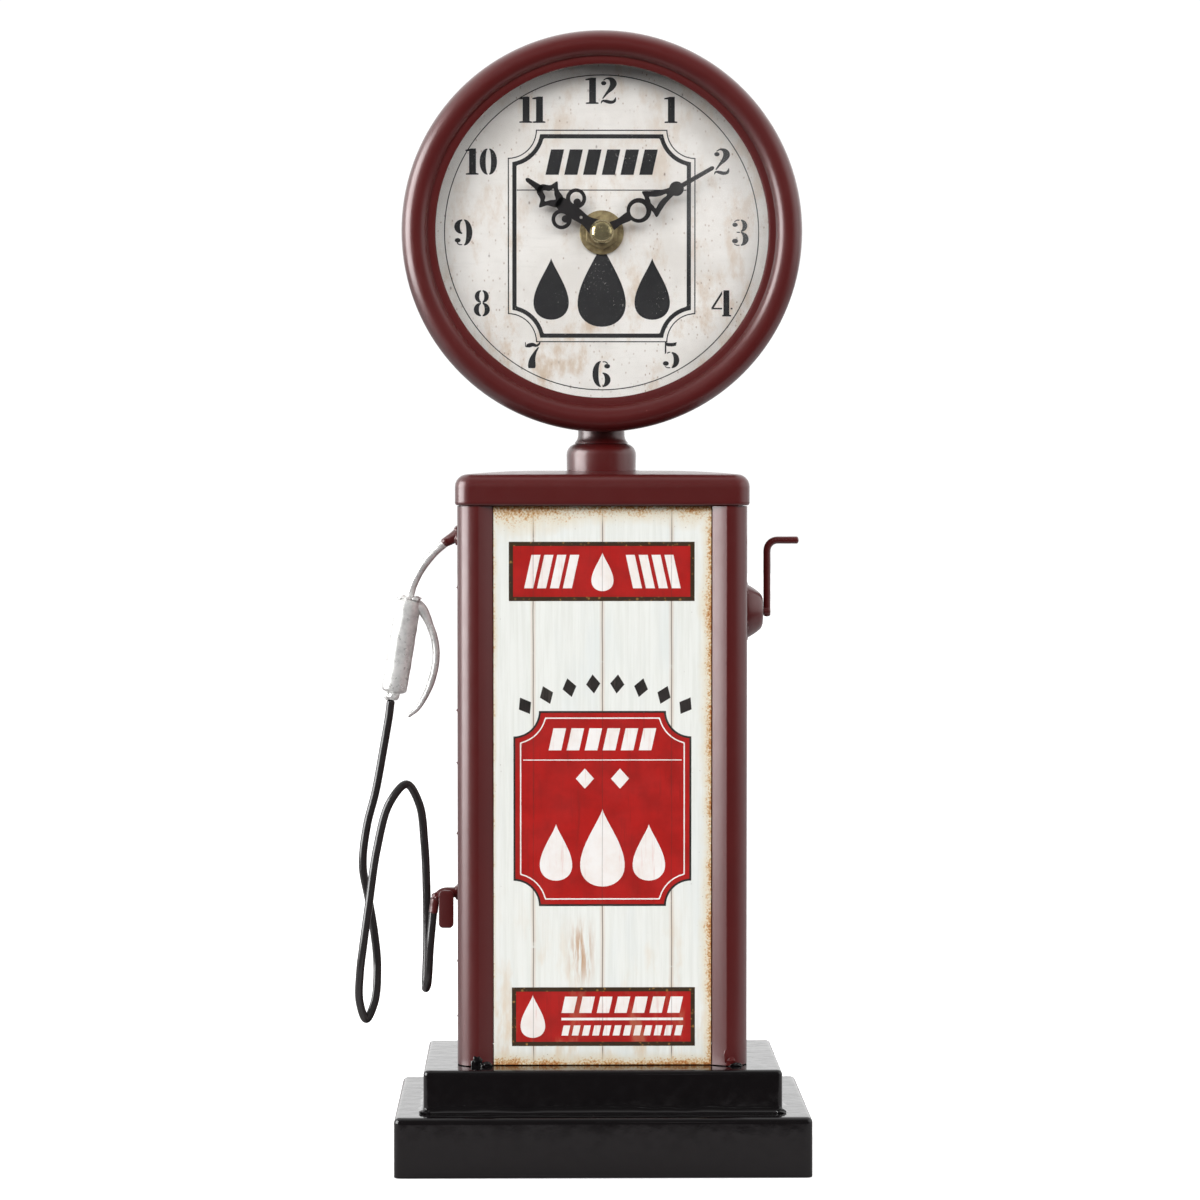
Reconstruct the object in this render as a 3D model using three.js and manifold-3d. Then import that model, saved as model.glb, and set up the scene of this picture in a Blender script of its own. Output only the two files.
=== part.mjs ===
// A table clock in the shape of an old fuel pump: painted sheet metal body, round head, quartz movement.
// Millimetres, +Z up, +X to the viewer's right, the dial faces -Y.
// The origin is the centre of the base's underside.
import * as THREE from 'three';
import { mergeVertices } from 'three/addons/utils/BufferGeometryUtils.js';
import Module from 'manifold-3d';

const wasm = await Module();
wasm.setup();

// ---- driving dimensions ----------------------------------------------------------------------------

const GAP = 0.3;            // between pieces that rest on each other
const ROUND = 44;           // facets round the head's large circles
const SHEET = 0.8;          // thickness of the painted sheet metal
const CUT = 5;              // how far a cutting tool runs past the face that it cuts

const BASE = { width: 146, depth: 102, height: 21, corner: 3, edge: 2.5 };
const STEP = { width: 126, depth: 80, height: 14.7, corner: 2.5, edge: 2 };
const BODY = { width: 102.5, depth: 60, height: 197.4, frontRadius: 7.2, columnWidth: 12.55, panelRecess: 3.2 };
const CAP = { width: 104, depth: 62, height: 11, corner: 6, edge: 4 };

const STEP_BOTTOM = BASE.height + GAP;
const BODY_BOTTOM = STEP_BOTTOM + STEP.height + GAP;
const BODY_TOP = BODY_BOTTOM + BODY.height;
const CAP_BOTTOM = BODY_TOP + GAP;
const CAP_TOP = CAP_BOTTOM + CAP.height;

const NECK = { lowerRadius: 12.45, lowerHeight: 10.7, upperRadius: 8.3, upperTop: 262.6 };

const HEAD = { height: 331, outerRadius: 71, openingRadius: 58.9, rollRadius: 6.2, drumRadius: 68 };
const LENS = { radius: 60.5, front: -17.7, back: -15.7 };
const RING = { outerRadius: 60.3, innerRadius: 57.8, front: -15.4, back: -5 };
const DIAL = { radius: 60, front: -4.7, back: -3.7, hole: 4.2 };
const DRUM = { front: -15.1, back: 21, seatRadius: 55, flangeRadius: 60 };
const REAR = { front: 21.3, back: 22.3, opening: 60, screwCircle: 63.5, screws: 4, holeRadius: 1.6 };

const TIME = { hour: 305, minute: 60 };       // clock angles of the hands at rest, in degrees from 12
const HOUR_HAND = { front: -9.7, back: -9.3, length: 33 };
const MINUTE_HAND = { front: -11, back: -10.6, length: 46 };

const CASE = { size: 56, front: -2.1, wall: 1.2, rim: 12, back: 14.4, partition: -11.75 };
const PIPE = { inner: 1.36, outer: 2.15 };    // the hour wheel's pipe, around the minute arbor
const ARBOR = 1.2;                            // radius of the minute arbor
const PIVOT = 0.36;                           // radius of the train's thin arbors
const BUSH = { radius: 4, bore: 2.35, front: -9 };
const CELL = { radius: 7.25, length: 49.2, nub: 1.3, axisY: 6.9, axisZ: -19.3 };

// The train's arbors, as x and z from the clock's centre.
const CENTRE = [0, 0];
const MINUTE_WHEEL = [-6.06, 3.5];
const SET_KNOB = [-9.56, 9.56];
const FIFTH = [0, 7.2];
const ROTOR = [3.15, 12.66];
const THIRD = [6.18, 3.57];

const SIDE = BODY.width / 2;                  // x of the body's side walls

// ---- solids ----------------------------------------------------------------------------------------

// A closed geometry as a solid, turned the right way out.
function toSolid(geometry) {
  const bare = geometry.index ? geometry.toNonIndexed() : geometry.clone();
  bare.deleteAttribute('normal');
  bare.deleteAttribute('uv');
  const merged = mergeVertices(bare, 1e-4);
  const corners = new Uint32Array(merged.index.array);
  const positions = merged.attributes.position.array;
  const build = () => {
    const mesh = new wasm.Mesh({ numProp: 3, vertProperties: positions, triVerts: corners });
    return new wasm.Manifold(mesh);
  };
  const solid = build();
  if (solid.volume() > 0) return solid;
  corners.reverse();
  return build();
}

function toGeometry(solid) {
  const mesh = solid.getMesh();
  const geometry = new THREE.BufferGeometry();
  geometry.setAttribute('position', new THREE.BufferAttribute(new Float32Array(mesh.vertProperties), 3));
  geometry.setIndex(new THREE.BufferAttribute(new Uint32Array(mesh.triVerts), 1));
  const faceted = geometry.toNonIndexed();
  faceted.computeVertexNormals();
  return faceted;
}

// The first geometry, joined with the added ones and cut by the others.
function carve(blank, { add = [], cut = [] }) {
  let solid = toSolid(blank);
  for (const extra of add) solid = solid.add(toSolid(extra));
  for (const tool of cut) solid = solid.subtract(toSolid(tool));
  return toGeometry(solid);
}

// ---- shapes ----------------------------------------------------------------------------------------

function block(x0, x1, y0, y1, z0, z1) {
  const box = new THREE.BoxGeometry(x1 - x0, y1 - y0, z1 - z0);
  return box.translate((x0 + x1) / 2, (y0 + y1) / 2, (z0 + z1) / 2);
}

function polygon(points) {
  return new THREE.Shape(points.map(([x, y]) => new THREE.Vector2(x, y)));
}

function circle(radius, sides, [x, y] = [0, 0]) {
  const points = [];
  for (let i = 0; i < sides; i += 1) {
    const angle = (2 * Math.PI * i) / sides;
    points.push([x + radius * Math.cos(angle), y + radius * Math.sin(angle)]);
  }
  return polygon(points);
}

function roundedRectangle(width, height, corner) {
  const [x, y] = [width / 2, height / 2];
  const shape = new THREE.Shape();
  shape.moveTo(x, corner - y);
  shape.absarc(x - corner, y - corner, corner, 0, Math.PI / 2);
  shape.absarc(corner - x, y - corner, corner, Math.PI / 2, Math.PI);
  shape.absarc(corner - x, corner - y, corner, Math.PI, 1.5 * Math.PI);
  shape.absarc(x - corner, corner - y, corner, 1.5 * Math.PI, 2 * Math.PI);
  return shape;
}

// A flat plate that faces front: the shape's x and y lie along x and z.
function plate(shape, front, back) {
  const settings = { depth: back - front, bevelEnabled: false, curveSegments: 5 };
  return new THREE.ExtrudeGeometry(shape, settings).rotateX(Math.PI / 2).translate(0, back, 0);
}

function disc(radius, front, back, sides, [x, z] = [0, 0]) {
  return plate(circle(radius, sides, [x, z]), front, back);
}

// An upright prism on a plan of x and y.
function prism(plan, bottom, top, curveSegments = 3) {
  const settings = { depth: top - bottom, bevelEnabled: false, curveSegments };
  return new THREE.ExtrudeGeometry(plan, settings).translate(0, 0, bottom);
}

// A slab that stands on its plan, with a rounded top edge.
function roundTopped({ width, depth, height, corner, edge }, bottom) {
  const shape = roundedRectangle(width - 2 * edge, depth - 2 * edge, Math.max(corner - edge, 0.4));
  const blank = new THREE.ExtrudeGeometry(shape, {
    depth: height - edge,
    bevelSize: edge,
    bevelThickness: edge,
    bevelSegments: 3,
    curveSegments: 3,
  });
  blank.translate(0, 0, bottom);
  return { blank, trim: block(-width, width, -depth, depth, bottom - 2 * edge, bottom) };
}

// The plan of the room inside a tray's walls, narrower by the margin.
function insidePlan({ width, depth, corner }, margin = 0) {
  const inset = SHEET + margin;
  return roundedRectangle(width - 2 * inset, depth - 2 * inset, corner - inset);
}

// A sheet metal tray, open underneath. Its room narrows below the rounded top edge.
function tray(size, bottom) {
  const { blank, trim } = roundTopped(size, bottom);
  const top = bottom + size.height;
  const room = prism(insidePlan(size), bottom - CUT, top - size.edge);
  const crown = prism(insidePlan(size, size.edge / 2), bottom - CUT, top - SHEET);
  return carve(blank, { cut: [trim, room, crown] });
}

// A solid of revolution about the y axis, from a closed profile of [radius, y] points.
function turned(profile, segments) {
  const points = profile.map(([radius, y]) => new THREE.Vector2(radius, y));
  if (THREE.ShapeUtils.area(points) < 0) points.reverse();
  const closed = points[0].x > 0 ? [...points, points[0]] : points;
  return toGeometry(toSolid(new THREE.LatheGeometry(closed, segments)));
}

// A round wire along points.
function wire(points, radius, steps, sides = 8) {
  const places = points.map(([x, y, z]) => new THREE.Vector3(x, y, z));
  const path = new THREE.CatmullRomCurve3(places, false, 'centripetal');
  return new THREE.ExtrudeGeometry(circle(radius, sides), { steps, extrudePath: path });
}

// ---- gears -----------------------------------------------------------------------------------------

// A gear's outline with slim, short teeth. A tooth points along angle phase.
function gearShape(teeth, module, phase) {
  const pitchRadius = (teeth * module) / 2;
  const [root, tip] = [pitchRadius - 1.05 * module, pitchRadius + 0.75 * module];
  const pitch = (2 * Math.PI) / teeth;
  const points = [];
  for (let i = 0; i < teeth; i += 1) {
    const middle = phase + i * pitch;
    for (const [radius, offset] of [[root, -0.27], [tip, -0.1], [tip, 0.1], [root, 0.27]]) {
      const angle = middle + offset * pitch;
      points.push([radius * Math.cos(angle), radius * Math.sin(angle)]);
    }
  }
  return polygon(points);
}

// The phase of a gear that meshes with another one, whose arbor lies at from and whose phase is known.
function meshPhase(from, to, drivingTeeth, drivingPhase, teeth) {
  const direction = Math.atan2(to[1] - from[1], to[0] - from[0]);
  const [drivingPitch, pitch] = [(2 * Math.PI) / drivingTeeth, (2 * Math.PI) / teeth];
  const offset = (direction - drivingPhase) / drivingPitch;
  return direction + Math.PI - pitch * (0.5 - offset);
}

const PHASE = {};
PHASE.cannon = 0;
PHASE.minuteWheel = meshPhase(CENTRE, MINUTE_WHEEL, 10, PHASE.cannon, 30);
PHASE.knobPinion = meshPhase(MINUTE_WHEEL, SET_KNOB, 30, PHASE.minuteWheel, 10);
PHASE.minutePinion = 0;
PHASE.hourWheel = meshPhase(MINUTE_WHEEL, CENTRE, 8, PHASE.minutePinion, 32);
PHASE.rotorPinion = 0;
PHASE.fifthWheel = meshPhase(ROTOR, FIFTH, 6, PHASE.rotorPinion, 36);
PHASE.fifthPinion = 0;
PHASE.secondsWheel = meshPhase(FIFTH, CENTRE, 8, PHASE.fifthPinion, 40);
PHASE.secondsPinion = 0;
PHASE.thirdWheel = meshPhase(CENTRE, THIRD, 6, PHASE.secondsPinion, 45);
PHASE.thirdPinion = 0;
PHASE.centreWheel = meshPhase(THIRD, CENTRE, 6, PHASE.thirdPinion, 48);

const MODULE = { motion: 0.35, fast: 0.3, third: 0.28, centre: 0.2644 };

function gear(teeth, module, phase, front, back, bore = 0) {
  const shape = gearShape(teeth, module, phase);
  if (bore > 0) shape.holes.push(circle(bore, 16));
  return plate(shape, front, back);
}

// ---- the assembly ----------------------------------------------------------------------------------

const FINISHES = {
  burgundy: [0x581e20, 0.35, 0.2],
  blackGloss: [0x0c0b0c, 0.12, 0.1],
  printedTin: [0xe8ece6, 0.5, 0.1],
  glass: [0xdfe6e6, 0.05, 0],
  clearPlastic: [0xc8ccca, 0.2, 0],
  dial: [0xe1dedb, 0.6, 0],
  handBlack: [0x23201f, 0.45, 0.4],
  brass: [0xaa965a, 0.25, 0.9],
  rubber: [0x1c1c1c, 0.9, 0],
  movementPlastic: [0x17181a, 0.5, 0],
  gearPlastic: [0xe8e4d8, 0.5, 0],
  steel: [0xb4b6b8, 0.3, 1],
  magnet: [0x55565a, 0.4, 0.8],
  copper: [0xb06a3a, 0.35, 0.8],
  circuitBoard: [0x2c5a38, 0.6, 0],
  cell: [0x3c4a58, 0.35, 0.3],
  silver: [0xd2d3d1, 0.35, 0.7],
  hoseBlack: [0x242322, 0.3, 0.1],
};

const clock = new THREE.Group();
const head = new THREE.Group();
head.position.z = HEAD.height;
clock.add(head);

function piece(name, geometry, finish, parent = clock) {
  const [color, roughness, metalness] = FINISHES[finish];
  const mesh = new THREE.Mesh(geometry, new THREE.MeshStandardMaterial({ color, roughness, metalness }));
  mesh.name = name;
  parent.add(mesh);
  return mesh;
}

// ---- base ------------------------------------------------------------------------------------------

function base() {
  piece('base_lower', tray(BASE, 0), 'blackGloss');
  piece('base_upper', tray(STEP, STEP_BOTTOM), 'blackGloss');
  const bottomPlate = prism(insidePlan(BASE, GAP), 0, SHEET);
  piece('base_bottom_plate', toGeometry(toSolid(bottomPlate)), 'blackGloss');
}

// ---- pump body -------------------------------------------------------------------------------------

// A side wall that rolls round the front corner, slants back towards the panel and ends in a lip.
function bodyShell(side) {
  const front = -BODY.depth / 2;
  const back = BODY.depth / 2 - SHEET - GAP;
  const column = SIDE - BODY.columnWidth;
  const radius = BODY.frontRadius;
  const bend = [SIDE - radius, front + radius];
  const lip = front + BODY.panelRecess + SHEET;
  const edge = front + BODY.panelRecess - GAP;
  const plan = new THREE.Shape();
  plan.moveTo(SIDE, back);
  plan.lineTo(SIDE, bend[1]);
  plan.absarc(bend[0], bend[1], radius, 0, -Math.PI / 2, true);
  plan.lineTo(column, edge);
  plan.lineTo(column, lip);
  plan.lineTo(column + SHEET, lip);
  plan.lineTo(column + SHEET, edge + 0.5 * SHEET);
  plan.lineTo(bend[0], front + SHEET);
  plan.absarc(bend[0], bend[1], radius - SHEET, -Math.PI / 2, 0, false);
  plan.lineTo(SIDE - SHEET, back);
  const wall = prism(plan, BODY_BOTTOM, BODY_TOP, 8);
  return toGeometry(toSolid(wall.scale(side, 1, 1)));
}

function pumpBody() {
  piece('body_left_shell', bodyShell(-1), 'burgundy');
  piece('body_right_shell', bodyShell(1), 'burgundy');
  const back = BODY.depth / 2;
  piece('body_back_panel', block(-SIDE, SIDE, back - SHEET, back, BODY_BOTTOM, BODY_TOP), 'burgundy');
  const panel = SIDE - BODY.columnWidth - GAP;
  const front = BODY.panelRecess - BODY.depth / 2;
  piece('front_panel', block(-panel, panel, front, front + SHEET, BODY_BOTTOM, BODY_TOP), 'printedTin');
  piece('top_cap', tray(CAP, CAP_BOTTOM), 'burgundy');
}

// ---- neck ------------------------------------------------------------------------------------------

// A round collar with softened shoulders, standing on z = bottom.
function collar(radius, bottom, top, shoulder) {
  const profile = [
    [0, bottom],
    [radius - 0.6, bottom],
    [radius, bottom + 0.6],
    [radius, top - shoulder],
    [radius - 0.3 * shoulder, top - 0.3 * shoulder],
    [radius - shoulder, top],
    [0, top],
  ];
  const geometry = turned(profile, 28);
  return toGeometry(toSolid(geometry.rotateX(Math.PI / 2)));
}

function neck() {
  const middle = CAP_TOP + GAP + NECK.lowerHeight;
  piece('neck_lower_collar', collar(NECK.lowerRadius, CAP_TOP + GAP, middle, 3), 'burgundy');
  piece('neck_upper_collar', collar(NECK.upperRadius, middle + GAP, NECK.upperTop, 1.2), 'burgundy');
}

// ---- head ------------------------------------------------------------------------------------------

// The rolled front ring, with a rebate for the lens and a skirt over the drum.
function bezelProfile() {
  const { outerRadius, openingRadius, rollRadius, drumRadius } = HEAD;
  const centre = outerRadius - rollRadius;
  const rollBack = -16;
  const start = Math.acos((openingRadius - centre) / rollRadius);
  const profile = [[LENS.radius + GAP, DRUM.front - GAP], [LENS.radius + GAP, LENS.front - GAP]];
  const steps = 7;
  for (let i = 0; i <= steps; i += 1) {
    const angle = start * (1 - i / steps);
    profile.push([centre + rollRadius * Math.cos(angle), rollBack - rollRadius * Math.sin(angle)]);
  }
  const skirt = drumRadius + GAP;
  profile.push([outerRadius, -14.5], [skirt + SHEET, -13.6], [skirt + SHEET, -9]);
  profile.push([skirt, -9], [skirt, DRUM.front - GAP]);
  return profile;
}

function ringProfile({ outerRadius, innerRadius, front, back }) {
  return [[innerRadius, front], [outerRadius, front], [outerRadius, back], [innerRadius, back]];
}

// The drum carries the dial on an inner seat and the rear cover on a back flange.
function drum() {
  const inner = HEAD.drumRadius - SHEET;
  const seat = DIAL.back + GAP;
  const profile = [
    [HEAD.drumRadius, DRUM.front],
    [HEAD.drumRadius, DRUM.back],
    [DRUM.flangeRadius, DRUM.back],
    [DRUM.flangeRadius, DRUM.back - 1],
    [inner, DRUM.back - 1],
    [inner, seat + 1],
    [DRUM.seatRadius, seat + 1],
    [DRUM.seatRadius, seat],
    [inner, seat],
    [inner, DRUM.front],
  ];
  return carve(turned(profile, ROUND), { cut: screwHoles() });
}

// The centres of the rear cover's screws.
function screwPlaces() {
  const places = [];
  for (let i = 0; i < REAR.screws; i += 1) {
    const angle = (2 * Math.PI * (i + 0.5)) / REAR.screws;
    places.push([REAR.screwCircle * Math.cos(angle), REAR.screwCircle * Math.sin(angle)]);
  }
  return places;
}

// Tools that cut the screws' holes through the drum's flange and the rear cover.
function screwHoles() {
  return screwPlaces().map((place) => disc(REAR.holeRadius, DRUM.back - CUT, REAR.back + CUT, 10, place));
}

function rearCover() {
  const half = REAR.opening / 2;
  const opening = block(-half, half, REAR.front - CUT, REAR.back + CUT, -half, half);
  return carve(disc(HEAD.drumRadius, REAR.front, REAR.back, ROUND), { cut: [opening, ...screwHoles()] });
}

function rearScrew() {
  const headFront = REAR.back + GAP;
  return turned([[0, 17.6], [1.2, 17.6], [1.2, headFront], [2.7, headFront], [2.5, 24], [0, 24.3]], 12);
}

function headShell() {
  piece('head_bezel', turned(bezelProfile(), ROUND), 'burgundy', head);
  piece('head_drum', drum(), 'burgundy', head);
  piece('glass_lens', disc(LENS.radius, LENS.front, LENS.back, ROUND), 'glass', head);
  piece('spacer_ring', turned(ringProfile(RING), ROUND), 'clearPlastic', head);
  const dial = { outerRadius: DIAL.radius, innerRadius: DIAL.hole, front: DIAL.front, back: DIAL.back };
  piece('dial_plate', turned(ringProfile(dial), ROUND), 'dial', head);
  piece('rear_cover', rearCover(), 'burgundy', head);
  screwPlaces().forEach(([x, z], i) => {
    const screw = piece(`rear_cover_screw_${i + 1}`, rearScrew(), 'steel', head);
    screw.position.set(x, 0, z);
  });
}

// ---- hands and centre hardware ---------------------------------------------------------------------

// The minute hand points up: a ring, a spade with a teardrop window, a round blob and a slim tip.
function minuteHand() {
  const { front, back, length } = MINUTE_HAND;
  const flat = (shape) => plate(shape, front, back);
  const through = (shape) => plate(shape, front - CUT, back + CUT);
  const hub = flat(circle(3.6, 20));
  const neckBar = flat(polygon([[-2.3, 2.5], [2.3, 2.5], [1.6, 11.5], [-1.6, 11.5]]));
  const ring = flat(circle(4.4, 24, [0, 15.2]));
  const spade = flat(polygon([
    [-5.2, 19.6], [-1.2, 17.6], [1.2, 17.6], [5.2, 19.6],
    [2.6, 24.5], [1.6, 30], [-1.6, 30], [-2.6, 24.5],
  ]));
  const blob = flat(circle(2.7, 16, [0, 30.6]));
  const shaft = flat(polygon([[-0.8, 30], [0.8, 30], [0.7, length], [-0.7, length]]));
  const ringHole = through(circle(3, 20, [0, 14.6]));
  const window = through(polygon([
    [-2.9, 20.6], [0, 19.6], [2.9, 20.6], [1, 24.4], [0.7, 27], [-0.7, 27], [-1, 24.4],
  ]));
  const hubHole = through(circle(ARBOR + 0.1, 16));
  return carve(hub, { add: [neckBar, ring, spade, blob, shaft], cut: [ringHole, window, hubHole] });
}

// The hour hand points up: a split neck, two side curls, an open leaf and a short tip.
function hourHand() {
  const { front, back, length } = HOUR_HAND;
  const flat = (shape) => plate(shape, front, back);
  const through = (shape) => plate(shape, front - CUT, back + CUT);
  const hub = flat(circle(4.2, 20));
  const neckBar = flat(polygon([[-3, 2.5], [3, 2.5], [2.4, 18.5], [-2.4, 18.5]]));
  const leaf = flat(polygon([
    [-1.6, 17.5], [1.6, 17.5], [5.6, 23.2], [1.6, 27.5], [-1.6, 27.5], [-5.6, 23.2],
  ]));
  const tip = flat(polygon([[-1.1, 26.5], [1.1, 26.5], [0.8, length], [-0.8, length]]));
  const curls = [-1, 1].map((side) => flat(circle(3.4, 18, [5.1 * side, 14.7])));
  const eyes = [-1, 1].map((side) => through(circle(2.2, 16, [5.1 * side, 14.3])));
  const window = through(polygon([[0, 19.4], [3.4, 23], [0.8, 25.8], [-0.8, 25.8], [-3.4, 23]]));
  const hubHole = through(circle(PIPE.outer + 0.1, 20));
  return carve(hub, { add: [neckBar, leaf, tip, ...curls], cut: [...eyes, window, hubHole] });
}

function hexagon(acrossFlats) {
  return circle(acrossFlats / 2 / Math.cos(Math.PI / 6), 6);
}

function handsAndNuts() {
  const hour = piece('hour_hand', hourHand(), 'handBlack', head);
  hour.rotation.y = THREE.MathUtils.degToRad(TIME.hour);
  const minute = piece('minute_hand', minuteHand(), 'handBlack', head);
  minute.rotation.y = THREE.MathUtils.degToRad(TIME.minute);
  const threadClearance = BUSH.radius + 0.1;
  const washer = { outerRadius: 7.85, innerRadius: threadClearance, front: -5.9, back: -5 };
  piece('brass_washer', turned(ringProfile(washer), 28), 'brass', head);
  const nut = hexagon(11);
  nut.holes.push(circle(threadClearance, 24));
  piece('shaft_nut', plate(nut, -8.4, -6.2), 'brass', head);
  const bore = ARBOR + 0.1;
  const capProfile = [
    [0, -14.3], [2, -13.9], [3.5, -12.9], [4.3, -11.6],
    [4.3, -11.3], [bore, -11.3], [bore, -13], [0, -13],
  ];
  piece('cap_nut', turned(capProfile, 24), 'brass', head);
  const rubber = { outerRadius: 8, innerRadius: threadClearance, front: -3.4, back: -2.4 };
  piece('rubber_washer', turned(ringProfile(rubber), 28), 'rubber', head);
}

// ---- movement --------------------------------------------------------------------------------------

// A bearing post on the back case, with a blind hole for the arbor's end.
function bearing(place, front) {
  return {
    post: disc(1.2, front, CASE.rim + 1, 10, place),
    hole: disc(PIVOT + 0.1, front - 1, 9.6, 10, place),
  };
}

function frontCase() {
  const half = CASE.size / 2;
  const inner = half - CASE.wall;
  const floor = CASE.front + CASE.wall;
  const blank = block(-half, half, CASE.front, CASE.rim, -half, half);
  const gearRoom = block(-inner, inner, floor, CASE.rim + CUT, CASE.partition + 1, inner);
  const cellRoom = block(-inner, inner, floor, CASE.rim + CUT, -inner, CASE.partition);
  const bushing = disc(BUSH.radius, BUSH.front, CASE.front + 0.5, 32);
  const bore = disc(BUSH.bore, BUSH.front - CUT, CASE.front + CUT, 24);
  return carve(blank, { add: [bushing], cut: [gearRoom, cellRoom, bore] });
}

function backCase() {
  const half = CASE.size / 2;
  const lid = block(-half, half, CASE.rim + GAP, CASE.back, -half, half);
  const inner = half - CASE.wall;
  const cellOpening = block(-inner, inner, CASE.rim - CUT, CASE.back + CUT, -inner, CASE.partition);
  const knobHole = disc(1.3, CASE.rim - CUT, CASE.back + CUT, 16, SET_KNOB);
  const bearings = [CENTRE, FIFTH, THIRD, MINUTE_WHEEL].map((place) => bearing(place, 8.2));
  const posts = bearings.map(({ post }) => post);
  const holes = bearings.map(({ hole }) => hole);
  return carve(lid, { add: posts, cut: [cellOpening, knobHole, ...holes] });
}

// A thin arbor between two y places.
function arbor(front, back, radius = PIVOT) {
  return disc(radius, front, back, 8);
}

function movingPart(name, geometry, finish, [x, z]) {
  piece(name, geometry, finish, head).position.set(x, 0, z);
}

function motionWork() {
  const { motion } = MODULE;
  const pipe = { outerRadius: PIPE.outer, innerRadius: PIPE.inner, front: -10, back: 0.4 };
  const hourRim = gear(32, motion, PHASE.hourWheel, -0.6, 0.4);
  const hourBore = disc(PIPE.inner, -CUT, CUT, 24);
  const hourWheel = carve(hourRim, { cut: [hourBore] });
  const hourPipe = turned(ringProfile(pipe), 24);
  movingPart('hour_wheel', carve(hourWheel, { add: [hourPipe] }), 'gearPlastic', CENTRE);

  const cannon = gear(10, motion, PHASE.cannon, 0.8, 1.8);
  movingPart('minute_arbor', carve(disc(ARBOR, -12.5, 3.3, 16), { add: [cannon] }), 'steel', CENTRE);

  const minuteRim = gear(30, motion, PHASE.minuteWheel, 0.8, 1.8);
  const minutePinion = gear(8, motion, PHASE.minutePinion, -0.6, 1);
  const minuteWheel = carve(minuteRim, { add: [minutePinion, arbor(-0.75, 9.2)] });
  movingPart('minute_wheel', minuteWheel, 'gearPlastic', MINUTE_WHEEL);

  const knobPinion = gear(10, motion, PHASE.knobPinion, 0.8, 1.8);
  const knob = disc(5, CASE.back + GAP, 17.4, 20);
  movingPart('set_knob', carve(disc(1, -0.6, 16, 12), { add: [knobPinion, knob] }), 'gearPlastic', SET_KNOB);
}

function stepTrain() {
  const { fast, third, centre } = MODULE;
  const clutch = gear(48, centre, PHASE.centreWheel, 2.4, 3.2, ARBOR + 0.15);
  movingPart('centre_wheel', toGeometry(toSolid(clutch)), 'gearPlastic', CENTRE);

  const thirdWheel = gear(45, third, PHASE.thirdWheel, 3.8, 4.6);
  const thirdPinion = gear(6, centre, PHASE.thirdPinion, 2.4, 4);
  const thirdGears = carve(thirdWheel, { add: [thirdPinion, arbor(-0.6, 9.2)] });
  movingPart('third_wheel', thirdGears, 'gearPlastic', THIRD);

  const secondsWheel = gear(40, fast, PHASE.secondsWheel, 5.2, 6);
  const secondsPinion = gear(6, third, PHASE.secondsPinion, 3.8, 5.4);
  const secondsGears = carve(secondsWheel, { add: [secondsPinion, arbor(3.6, 9.2)] });
  movingPart('seconds_wheel', secondsGears, 'gearPlastic', CENTRE);

  const fifthWheel = gear(36, fast, PHASE.fifthWheel, 6.6, 7.4);
  const fifthPinion = gear(8, fast, PHASE.fifthPinion, 5.2, 6.8);
  const fifthGears = carve(fifthWheel, { add: [fifthPinion, arbor(-0.6, 9.2)] });
  movingPart('fifth_wheel', fifthGears, 'gearPlastic', FIFTH);

  const rotorPinion = gear(6, fast, PHASE.rotorPinion, 6.6, 8.2);
  const magnet = disc(2.5, 8, 10.5, 16);
  movingPart('rotor', carve(magnet, { add: [rotorPinion, arbor(5.8, 11.6)] }), 'magnet', ROTOR);
}

function stepMotor() {
  const outline = polygon([[-0.5, 9], [23, 9], [23, 16.4], [-0.5, 16.4]]);
  const window = polygon([[9, 10.6], [18.6, 10.6], [18.6, 14.8], [9, 14.8]]);
  outline.holes.push(circle(2.9, 20, ROTOR), window);
  piece('stator', toGeometry(toSolid(plate(outline, 8.6, 9.6))), 'steel', head);
  const winding = block(15.6, 25.6, 6.2, 11.6, 10.9, 14.5);
  const core = block(18.3, 23.3, 8.3, 9.9, 5, 20);
  piece('coil', carve(winding, { cut: [core] }), 'copper', head);
  piece('circuit_board', block(-25, -13, 10.4, 11.2, 0, 24), 'circuitBoard', head);
  piece('quartz_crystal', disc(1.2, 3.6, 10.1, 12, [-19, 16]), 'steel', head);
}

function battery() {
  const { radius, length, nub, axisY, axisZ } = CELL;
  const half = length / 2;
  const nubRadius = 2.6;
  const profile = [
    [0, -half], [radius, -half], [radius, half],
    [nubRadius, half], [nubRadius, half + nub], [0, half + nub],
  ];
  const cell = turned(profile, 28).rotateZ(-Math.PI / 2);
  piece('battery', cell.translate(0, axisY, axisZ), 'cell', head);
  const end = half + nub + GAP;
  const contact = (x0, x1) => block(x0, x1, axisY - 4, axisY + 4, axisZ - 4, axisZ + 4);
  piece('contact_positive', contact(end, end + 0.4), 'steel', head);
  piece('contact_negative', contact(-half - GAP - 1.2, -half - GAP), 'steel', head);
}

function movement() {
  piece('movement_front_case', frontCase(), 'movementPlastic', head);
  piece('movement_back_case', backCase(), 'movementPlastic', head);
  motionWork();
  stepTrain();
  stepMotor();
  battery();
}

// ---- nozzle and hose -------------------------------------------------------------------------------

// The nozzle body's axis, from the spout's end to the hose's end, as x and z.
const NOZZLE = { top: [-69, 200.2], bottom: [-74.9, 164.6], radius: 4.65 };

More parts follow.
